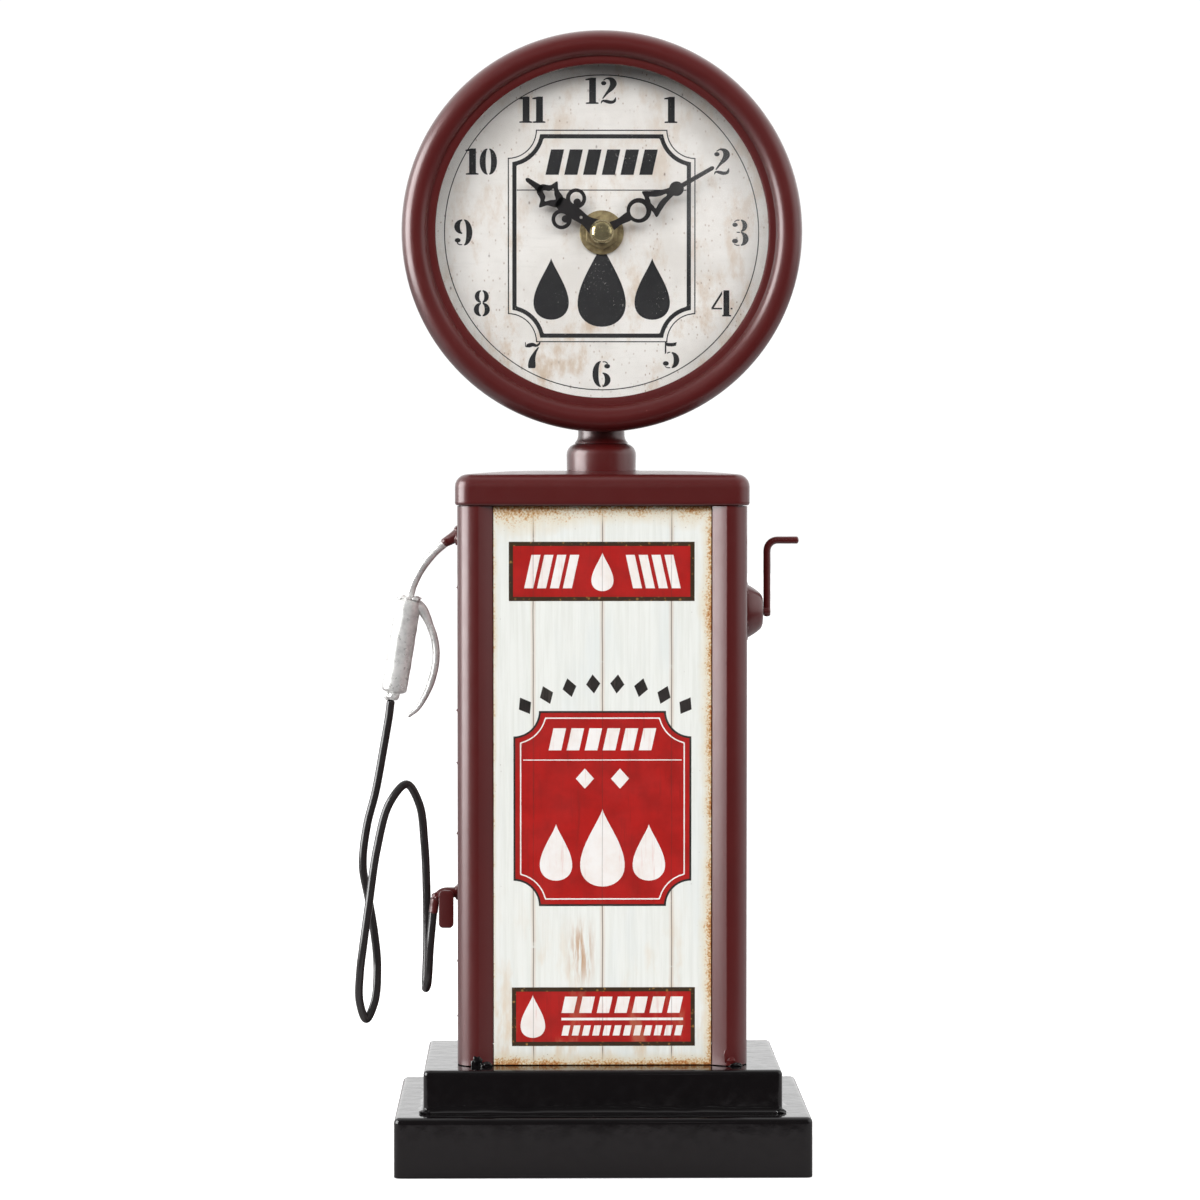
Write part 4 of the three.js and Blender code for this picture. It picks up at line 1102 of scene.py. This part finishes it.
def neck():
    for node, shoulder, label in (("neck_lower_collar", 4.0, "lower"), ("neck_upper_collar", 1.3, "upper")):
        x0, x1, _, _, z0, z1 = span(node)
        r = (x1 - x0) / 2
        if label == "upper":
            profile = [(0, z0 - 0.3), (r + 1.3, z0 - 0.3), (r + 1.15, z0 + 0.1), (r + 0.6, z0 + 0.75),
                       (r + 0.25, z0 + 1.5), (r + 0.05, z0 + 2.4)]
        else:
            profile = [(0, z0), (r - 0.5, z0), (r - 0.1, z0 + 0.35)]
        for i in range(9):
            a = math.pi / 2 * i / 8
            profile.append((r - shoulder * (1 - math.cos(a)), z1 - shoulder * (1 - math.sin(a))))
        profile.append((0, z1))
        piece(f"{label}_collar", revolve(profile, "z", steps=64), "burgundy_paint", stands_for=[node])
    cap_top = span("top_cap")[5]
    beads = [((12.3 * math.cos(a), 12.3 * math.sin(a), cap_top + 0.5), (s, s, 0.9), 0.3, i)
             for i, (a, s) in enumerate(((-0.25, 2.1), (0.2, 1.7), (2.9, 1.3), (3.5, 1.5), (1.5, 1.6)))]
    beads.append(((0, 0, 262.0), (9.4, 9.4, 1.6), 0.2, 9))
    piece("neck_weld", lumps(*beads), "burgundy_paint")


# ---- hands and centre hardware ----------------------------------------------------------------------


def hand(name, node, body_name, turn, solids, holes):
    _, _, front, back, _, _ = span(node)
    blank, *rest = [flat_mesh([outline], front, back, turn=turn) for outline in solids]
    mesh = solve("UNION", blank, rest)
    mesh = solve("DIFFERENCE", mesh, [flat_mesh([hole], front - 1, back + 1, turn=turn) for hole in holes])
    piece(name, mesh, "hand_black", body_name, [node], bevel=0.07)


def hands():
    minute = [
        circle(3.6), smooth_outline([(-1.7, 2), (1.7, 2), (1.25, 7), (1.5, 11.6), (-1.5, 11.6), (-1.25, 7)]),
        circle(4.4, (0, 15.2), 48),
        smooth_outline([(5.2, 19.5), (3.9, 22.2), (2.6, 25), (1.7, 28), (1.3, 30.6), (-1.3, 30.6),
                        (-1.7, 28), (-2.6, 25), (-3.9, 22.2), (-5.2, 19.5), (-2.8, 19.2), (-1.2, 18.2),
                        (1.2, 18.2), (2.8, 19.2)]),
        circle(2.6, (0, 30.6), 32),
        [(-0.85, 29), (0.85, 29), (0.72, 45.2), (0.45, 45.8), (0, 46), (-0.45, 45.8), (-0.72, 45.2)],
    ]
    minute_holes = [circle(1.3, steps=32), circle(2.9, (0, 14.9), 40),
                    smooth_outline([(2.3, 20.8), (1.3, 22.6), (0.6, 24.6), (0.35, 26.4), (-0.35, 26.4),
                                    (-0.6, 24.6), (-1.3, 22.6), (-2.3, 20.8), (-1.1, 20.5), (0, 20.2),
                                    (1.1, 20.5)])]
    hand("minute_pointer", "minute_hand", "minute_work", MINUTE_ANGLE, minute, minute_holes)
    hour = [
        circle(4.2),
        smooth_outline([(-2.7, 2.5), (2.7, 2.5), (1.9, 7), (2.3, 11.5), (2.0, 18.6), (-2.0, 18.6),
                        (-2.3, 11.5), (-1.9, 7)]),
        circle(3.6, (4.45, 14.3), 36), circle(3.6, (-4.45, 14.3), 36),
        smooth_outline([(5.6, 23.2), (3.1, 24.5), (1.5, 27.2), (-1.5, 27.2), (-3.1, 24.5), (-5.6, 23.2),
                        (-3.4, 21.2), (-1.9, 18), (1.9, 18), (3.4, 21.2)]),
        [(-1.3, 26), (1.3, 26), (0.75, 32.3), (0.4, 32.8), (0, 33), (-0.4, 32.8), (-0.75, 32.3)],
    ]
    spade = smooth_outline([(2.7, 22.8), (1.2, 23.6), (0.35, 25.2), (-0.35, 25.2), (-1.2, 23.6), (-2.7, 22.8),
                            (-1.2, 21.4), (0, 20.1), (1.2, 21.4)])
    hour_holes = [circle(2.25, steps=32), circle(0.55, (0, 9), 20), spade]
    for side in (-1, 1):
        hour_holes.append(circle(2.2, (4.6 * side, 14.3), 36))
    hand("hour_pointer", "hour_hand", "hour_work", HOUR_ANGLE, hour, hour_holes)
    _, _, front, back, _, _ = span("hour_hand")
    balls = [flat_mesh([circle(1.35, (3.6 * side, 13.2), 28)], front + 0.02, back - 0.02, turn=HOUR_ANGLE)
             for side in (-1, 1)]
    piece("hour_pointer_curls", join(*balls), "hand_black", "hour_work", bevel=0.07)


def centre_hardware():
    _, _, y0, y1, _, _ = span("brass_washer")
    washer = [(4.1, y0 + 0.1), (4.2, y0), (7.5, y0), (7.85, y0 + 0.2), (7.85, y1), (4.1, y1)]
    piece("washer", revolve(washer, at=HEAD, steps=64, loop=True), "aged_brass", stands_for=["brass_washer"])
    _, _, y0, y1, _, _ = span("shaft_nut")
    corner = 5.5 / math.cos(math.pi / 6)
    nut = flat_mesh([circle(corner, steps=6, start=30), circle(4.1, steps=40)], y0, y1)
    chamfer = revolve([(0, y0), (5.3, y0), (6.6, y0 + 0.75), (6.6, y1 + 1), (0, y1 + 1)], at=HEAD, steps=64)
    piece("nut", solve("INTERSECT", nut, [chamfer]), "aged_brass", stands_for=["shaft_nut"], bevel=0.08)
    _, _, y0, y1, _, _ = span("cap_nut")
    dome = [(0, y0)]
    for i in range(1, 13):
        a = math.pi / 2 * i / 12
        dome.append((4.3 * math.sin(a), y0 + 2.6 * (1 - math.cos(a))))
    dome += [(4.3, y1 - 0.15), (4.15, y1), (1.3, y1), (1.3, -13), (0, -13)]
    piece("dome_nut", revolve(dome, at=HEAD, steps=64), "brass", "minute_work", ["cap_nut"])


# ---- movement ---------------------------------------------------------------------------------------


KNURLS = 36          # ridges round the set knob's grip


def movement():
    lid_back = span("movement_back_case")[3]
    x0, x1, _, knob_back, z0, z1 = span("set_knob")
    centre = ((x0 + x1) / 2, (z0 + z1) / 2)

    def raised(outlines, height=0.25, at=(0, HEAD_Z), edge=0.0):
        return flat_mesh(outlines, lid_back - 0.05, lid_back + height, at, edge=edge)

    marks = [raised([circle(6.6, steps=48), circle(5.9, steps=48)], 0.35, centre, 0.08)]
    for start in (25, 205):
        end = start + 55
        arc = circle(8.2, steps=16, start=start, sweep=55) + circle(7.5, steps=16, start=end, sweep=-55)
        a = math.radians(end)
        tip = [(r * math.cos(t), r * math.sin(t)) for r, t in ((6.9, a), (8.8, a), (7.85, a + 0.2))]
        marks += [raised([arc], at=centre), raised([tip], at=centre)]
    marks += [raised([box_outline(*sign)])
              for sign in ((20, 24, -9.7, -9.0), (21.65, 22.35, -11.3, -7.4), (-24, -20, -9.7, -9.0))]
    marks.append(raised([rounded_rectangle(50, 1.0, 0.4)], 0.3, (0, HEAD_Z + 25.4)))
    frame_lines = [rounded_rectangle(14, 9, 1), rounded_rectangle(12.4, 7.4, 0.6)]
    marks.append(raised(frame_lines, 0.3, (14, HEAD_Z + 8)))
    piece("movement_marks", join(*marks), "movement_plastic")

    outline = []
    for i in range(KNURLS * 4):
        a = 2 * math.pi * i / (KNURLS * 4)
        radius = 5.45 if i % 4 < 2 else 5.15
        outline.append((radius * math.cos(a), radius * math.sin(a)))
    grip = flat_mesh([outline], lid_back + 0.45, knob_back + 0.25, at=centre, edge=0.1)
    floor = knob_back - 0.35
    pocket = revolve([(0, floor), (3.4, floor), (3.7, knob_back + 1), (0, knob_back + 1)],
                     at=(centre[0], 0, centre[1]), steps=40)
    piece("set_knob_grip", solve("DIFFERENCE", grip, [pocket]), "gear_plastic", "set_knob")

    x0, x1, y0, y1, z0, z1 = span("battery")
    r = (z1 - z0) / 2
    end = x1 - 1.3
    can = [(0, x0), (5.4, x0), (5.8, x0 + 0.3), (6.3, x0 + 0.3), (r - 0.25, x0 + 0.15), (r, x0 + 0.5),
           (r, end - 0.6), (r - 0.2, end - 0.15), (r - 0.9, end), (r - 1.3, end - 0.3), (3.2, end - 0.3),
           (2.8, end), (2.6, end + 0.2), (2.6, x1 - 0.3), (2.3, x1), (0, x1)]
    cell = revolve(can, "x", at=(0, (y0 + y1) / 2, (z0 + z1) / 2), steps=64)
    piece("dry_cell", cell, "cell_wrap", "battery", ["battery"])


# ---- nozzle and hose --------------------------------------------------------------------------------

HOSE_ROUTE = [
    (-75.6, 0, 163.4), (-76.3, 0.5, 158), (-77.9, 1.5, 148.8), (-81.2, 2.5, 130.9), (-84.4, 3.5, 118.3),
    (-85.9, 4, 104), (-83.8, 4, 91.8), (-81.9, 3.5, 80.6), (-80.7, 3, 68), (-81.6, 1.5, 55.2),
    (-84.6, 0, 49), (-86.9, -1.5, 55.5), (-86.7, -3, 66), (-85.6, -4, 75), (-83.5, -4, 90.3),
    (-80.5, -3, 110.8), (-76.1, -1, 126.9), (-70, 1.5, 133.6), (-65.5, 3.5, 126.2), (-63.7, 4, 112.2),
    (-63, 4, 97.5), (-62.8, 3.5, 75.6), (-63.2, 1, 62.5), (-63.1, -2, 60.4), (-62.4, -4.5, 62.5),
    (-61.5, -6, 75.6), (-60.3, -6, 88.5),
]


def nozzle():
    top, low, radius = Vector((-69, 0, 200.2)), Vector((-74.9, 0, 164.6)), 4.65
    axis = low - top
    length = axis.length
    profile = [(0, 0), (2.2, -0.1), (3.6, 0.1), (4.3, 0.7), (radius, 1.6)]
    profile += [(radius, 1.6 + (length - 4.9) * i / 14) for i in range(1, 15)]
    profile += [(radius - 0.15, length - 2.9), (radius - 0.55, length - 2.45), (radius - 1.3, length - 2.2),
                (2.6, length - 2.0), (2.35, length - 1.8), (2.25, length - 0.4), (1.9, length), (0, length)]
    mesh = revolve(profile, "z", steps=56)
    mesh.transform(Vector((0, 0, 1)).rotation_difference(axis).to_matrix().to_4x4())
    for vertex in mesh.vertices:
        place = vertex.co / MM
        along = place.project(axis)
        out = place - along
        if out.length > 1:
            swell = 0.22 * noise.noise(place * 0.3) + 0.08 * noise.noise(place * 0.9)
            out *= 1 + swell * 0.18 - 0.012
        vertex.co = (along + out) * MM
        vertex.co += top * MM
    beads = lumps(((-71.4, -0.8, 200.7), (1.9, 2.2, 1.1), 0.35, 1),
                  ((-66.6, -1.2, 200.3), (1.9, 2.4, 1.2), 0.35, 2),
                  ((-69.2, -2.8, 200.4), (1.7, 1.3, 0.9), 0.35, 3),
                  ((-65.0, 0, 197.4), (1.7, 1.9, 2.1), 0.35, 4),
                  ((-74.4, -2.6, 165.6), (1.8, 1.3, 1.6), 0.35, 5),
                  ((-76.6, -0.6, 165.4), (1.4, 1.5, 1.3), 0.35, 6))
    piece("nozzle_barrel", mesh, "silver_paint", stands_for=["nozzle_body"], sharp=60)
    piece("nozzle_weld", beads, "silver_paint")

    root = [(WALL + 1.2, 0, 224.2), (WALL - 0.8, 0, 222.9), (-56.4, 0, 220.3)]
    stub = tube(root, lambda t: 2.5 - 0.85 * t, 24, 8, wobble=0.08)
    piece("spout_root", stub, "burgundy_paint", stands_for=["nozzle_stub"], sharp=60)
    beads = lumps(((WALL - 0.2, 0.2, 224.6), (1.5, 2.4, 2.0), 0.3, 3),
                  ((WALL - 0.3, -1.2, 221.8), (1.5, 1.8, 2.0), 0.3, 4),
                  ((-55.6, -0.2, 220.9), (1.75, 1.75, 1.6), 0.15, 5))
    piece("spout_weld", beads, "burgundy_paint")
    spout = [(-55.2, 0, 220.9), (-56.6, 0, 219.9), (-60.3, 0, 216.6), (-64.5, 0, 211.2), (-67.5, 0, 205.4),
             (-68.9, 0, 200.5)]
    piece("spout", tube(spout, 1.5, 24, 10, wobble=0.05), "silver_paint",
          stands_for=["nozzle_spout"], sharp=60)
    lever = [(-66.6, 0, 198.2), (-64.6, 0, 197.0), (-62.1, 0, 192.3), (-59.9, 0, 185.9), (-59.3, 0, 180),
             (-60.4, 0, 172.9), (-63.0, 0, 166), (-66.2, 0, 160.8), (-69.2, 0, 158.4)]

    def taper(t):
        return 1.35 + 0.85 * max(0, 1 - t / 0.2) - 0.62 * max(0, (t - 0.6) / 0.4) ** 1.6

    piece("trigger", tube(lever, taper, 24, 10, flat=1.15, wobble=0.06), "silver_paint",
          stands_for=["nozzle_lever"], sharp=60)


def hose():
    piece("hose_loop", tube(HOSE_ROUTE, 1.48, 24, 12, wobble=0.015), "hose_black",
          stands_for=["hose_wire"], sharp=60)
    elbow = [(-60.25, -6, 88.3), (-60.0, -6, 90.5), (-59.3, -6, 93), (-57, -5.6, 95), (-53.6, -4.2, 95.2),
             (WALL + 0.4, -3.5, 95.0)]
    tab = flat_mesh([rounded_rectangle(5.3, 13.4, 1.6)], -8.9, -7.3, at=(-55.6, 89.5), edge=0.25)
    beads = lumps(((-55.9, -6.7, 94.6), (2.5, 1.6, 1.7), 0.3, 1),
                  ((WALL - 0.2, -3.9, 96.2), (1.3, 2.1, 1.8), 0.3, 2),
                  ((WALL - 0.2, -3.2, 93.8), (1.2, 2, 1.5), 0.3, 3),
                  ((-59.2, -6.2, 93.6), (1.9, 1.8, 1.8), 0.25, 4))
    piece("hose_holder", join(tube(elbow, lambda t: 1.62 + 0.3 * t * t, 24, 10, wobble=0.1), tab, beads),
          "burgundy_paint", stands_for=["hose_bracket"], sharp=50)


# ---- crank ------------------------------------------------------------------------------------------


def crank():
    x0, x1, _, _, z0, z1 = span("crank_boss")
    height = (z0 + z1) / 2
    r = (z1 - z0) / 2
    face = x1
    profile = [(0, x0), (r, x0), (r - 0.05, x0 + 0.4), (r - 0.4, x0 + 1.3), (r - 1.0, x0 + 2.4),
               (r - 1.8, x0 + 3.6), (r - 2.6, x0 + 4.7), (r - 3.3, face - 0.95), (r - 4.1, face - 0.4),
               (r - 5.1, face - 0.08), (r - 6.2, face), (0, face)]
    piece("crank_hub", revolve(profile, "x", at=(0, 0, height), steps=72), "burgundy_paint",
          stands_for=["crank_boss"])
    seam = [((x0 + 0.3, 9.4 * math.cos(a), height + 9.4 * math.sin(a)), (0.8, s, s), 0.35, i)
            for i, (a, s) in enumerate(((-2.6, 1.8), (-1.7, 1.5), (-1.2, 1.3), (1.3, 1.6), (2.4, 1.3)))]
    piece("crank_weld", lumps(*seam), "burgundy_paint")
    arm, top, end, bend = 59.5, 221.4, 70.2, 3.8
    route = [(arm, 0, height - 1.3), (arm, 0, height + 4), (arm, 0, height + 12), (arm, 0, top - bend - 2)]
    for i in range(7):
        a = math.pi / 2 * i / 6
        route.append((arm + bend * (1 - math.cos(a)), 0, top - bend * (1 - math.sin(a))))
    route += [(arm + 7.5, 0, top), (end, 0, top)]
    rivet = [(0, face + 0.28), (1.6, face + 0.28), (1.7, arm + 0.4), (1.4, arm + 1.0), (0.8, arm + 1.3),
             (0, arm + 1.35)]
    pin = revolve(rivet, "x", at=(0, 0, height), steps=32)
    piece("crank_wire", join(tube(route, 1.3, 20, 8, wobble=0.03), pin), "burgundy_paint", "crank",
          ["crank_handle"], sharp=50)


# ---- carried-over CAD nodes -------------------------------------------------------------------------

CARRIED = {
    "base_bottom_plate": ("black_gloss_paint", 0.3), "rubber_washer": ("rubber", 0.2),
    "movement_front_case": ("movement_plastic", 0.25), "movement_back_case": ("movement_plastic", 0.2),
    "hour_wheel": ("gear_plastic", 0), "minute_wheel": ("gear_plastic", 0), "set_knob": ("gear_plastic", 0),
    "centre_wheel": ("gear_plastic", 0), "third_wheel": ("gear_plastic", 0),
    "seconds_wheel": ("gear_plastic", 0), "fifth_wheel": ("gear_plastic", 0),
    "minute_arbor": ("steel", 0), "rotor": ("magnet", 0), "stator": ("steel", 0),
    "quartz_crystal": ("steel", 0), "contact_positive": ("steel", 0.1), "contact_negative": ("steel", 0.1),
    "coil": ("copper", 0), "circuit_board": ("circuit_board", 0),
}


def carry_over():
    for node, (finish, bevel) in CARRIED.items():
        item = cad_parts[node]
        item.data.materials.clear()
        item.data.materials.append(FINISH[finish])
        if bevel:
            edge = item.modifiers.new("edge", "BEVEL")
            edge.width = bevel * MM
            edge.segments = 2
            edge.limit_method = "ANGLE"
            edge.angle_limit = math.radians(40)


# ---- setting ----------------------------------------------------------------------------------------

MIDDLE = (0, 0, 0.22)               # what the lights point at
# name, place in metres, width, height, watts, for sheen only
LIGHTS = (
    ("sheen_left", (-1.17, -0.27, 0.45), 0.98, 1.1, 37, True),
    ("sheen_right", (1.15, -0.30, 0.55), 0.95, 0.9, 2.1, True),
    ("key", (-0.80, -1.15, 0.95), 0.8, 0.8, 14, False),
    ("fill", (0.90, -1.10, 0.80), 0.9, 0.9, 9.7, False),
    ("front", (0.0, -1.90, 1.1), 0.9, 0.5, 9.7, False),
    ("top", (0.0, 0.5, 1.6), 1.2, 0.8, 5, False),
)

GLARE_AT = (124, -1600, 449)
GLARE_HALF = 75
GLARE_FADE = (12, 72)               # full strength up to the first radius, none from the second
GLARE_STRENGTH = 2.3

FLOOR_HALF = 9000
FLOOR_SHADE = (-185, -150)          # y where what the floor reflects turns from dark to grey
WORLD_FADE = (-0.75, 0.35)          # how far back a ray points where the room turns from dark to bright
WORLD_DARK, WORLD_BRIGHT = 0.12, 1.3
BACKDROP = 1.05                     # the room as the camera sees it

FOCAL_LENGTH = 123.16
CAMERA_AT = (-22.125, -1473.295, 243.651)
YAW, PITCH = 0.0147, -0.0297


def area_light(name, at, width, height, power, sheen):
    """A softbox: for sheen only, or for the soft light on matt surfaces only."""
    data = bpy.data.lights.new(name, "AREA")
    data.shape = "RECTANGLE"
    data.size, data.size_y = width, height
    data.energy = power
    light = bpy.data.objects.new(name, data)
    bpy.context.scene.collection.objects.link(light)
    light.location = at
    light.rotation_euler = (Vector(MIDDLE) - Vector(at)).to_track_quat("-Z", "Y").to_euler()
    light.visible_camera = False
    light.visible_glossy = sheen
    light.visible_transmission = False
    light.visible_diffuse = not sheen


def glare_card():
    """A soft glow beside the camera, seen only as a reflection in the lens."""
    h = GLARE_HALF
    square = raw([(-h, 0, -h), (h, 0, -h), (h, 0, h), (-h, 0, h)], [(0, 1, 2, 3)])
    card = bpy.data.objects.new("glare_card", square)
    bpy.context.scene.collection.objects.link(card)
    g = Graph("glare_card", Base_Color=(0, 0, 0, 1), Roughness=1)
    reach = g.add("ShaderNodeVectorMath", operation="LENGTH")
    g.put(reach.inputs[0], g.place)
    g.put(g.shader.inputs["Emission Color"], (1, 1, 1, 1))
    glow = g.fade(reach.outputs["Value"], *GLARE_FADE, GLARE_STRENGTH, 0)
    g.put(g.shader.inputs["Emission Strength"], glow)
    card.data.materials.append(g.material)
    card.location = Vector(GLARE_AT) * MM
    card.visible_camera = card.visible_diffuse = card.visible_shadow = card.visible_transmission = False


def setting():
    scene = bpy.context.scene
    scene.view_settings.view_transform = "Standard"
    h = FLOOR_HALF
    square = raw([(-h, -h, 0), (h, -h, 0), (h, h, 0), (-h, h, 0)], [(0, 1, 2, 3)])
    floor = bpy.data.objects.new("floor", square)
    scene.collection.objects.link(floor)
    g = Graph("floor_card", Specular_IOR_Level=0.1)
    _, y, _ = g.xyz()
    direct = g.add("ShaderNodeLightPath").outputs["Is Camera Ray"]
    pale = g.mix(g.noise(400, 2), srgb(246, 246, 246), srgb(250, 250, 250))
    shaded = g.mix(g.fade(y, *FLOOR_SHADE), srgb(60, 58, 59), srgb(182, 178, 179))
    g.colour(g.mix(direct, shaded, pale))
    g.put(g.shader.inputs["Roughness"], 0.9)
    g.put(g.shader.inputs["Emission Color"], (1, 1, 1, 1))
    g.put(g.shader.inputs["Emission Strength"], g.times(direct, 0.5))
    floor.data.materials.append(g.material)
    floor.location.z = -0.0002

    world = bpy.data.worlds.new("studio")
    scene.world = world
    world.use_nodes = True
    tree = world.node_tree
    tree.nodes.clear()
    new, link = tree.nodes.new, tree.links.new
    direction = new("ShaderNodeTexCoord").outputs["Generated"]
    parts = new("ShaderNodeSeparateXYZ")
    link(direction, parts.inputs[0])
    grade = new("ShaderNodeMapRange")
    grade.interpolation_type = "SMOOTHSTEP"
    for socket, value in zip(grade.inputs[1:5], (*WORLD_FADE, WORLD_DARK, WORLD_BRIGHT)):
        socket.default_value = value
    link(parts.outputs[1], grade.inputs[0])
    path = new("ShaderNodeLightPath")
    seen = new("ShaderNodeMix")
    seen.data_type = "FLOAT"
    link(path.outputs["Is Camera Ray"], seen.inputs[0])
    link(grade.outputs[0], seen.inputs[2])
    seen.inputs[3].default_value = BACKDROP
    background = new("ShaderNodeBackground")
    background.inputs[0].default_value = (1, 1, 1, 1)
    link(seen.outputs[0], background.inputs[1])
    output = new("ShaderNodeOutputWorld")
    link(background.outputs[0], output.inputs[0])

    for light in LIGHTS:
        area_light(*light)
    glare_card()


def camera():
    data = bpy.data.cameras.new("camera")
    data.lens = FOCAL_LENGTH
    data.sensor_width = 36
    item = bpy.data.objects.new("camera", data)
    bpy.context.scene.collection.objects.link(item)
    forward = Vector((math.sin(YAW) * math.cos(PITCH), math.cos(YAW) * math.cos(PITCH), math.sin(PITCH)))
    item.location = Vector(CAMERA_AT) * MM
    item.rotation_euler = forward.to_track_quat("-Z", "Y").to_euler()
    data.clip_start, data.clip_end = 0.05, 60
    bpy.context.scene.camera = item


base()
body()
front_art()
dial()
head()
neck()
hands()
centre_hardware()
movement()
nozzle()
hose()
crank()
carry_over()
setting()
camera()
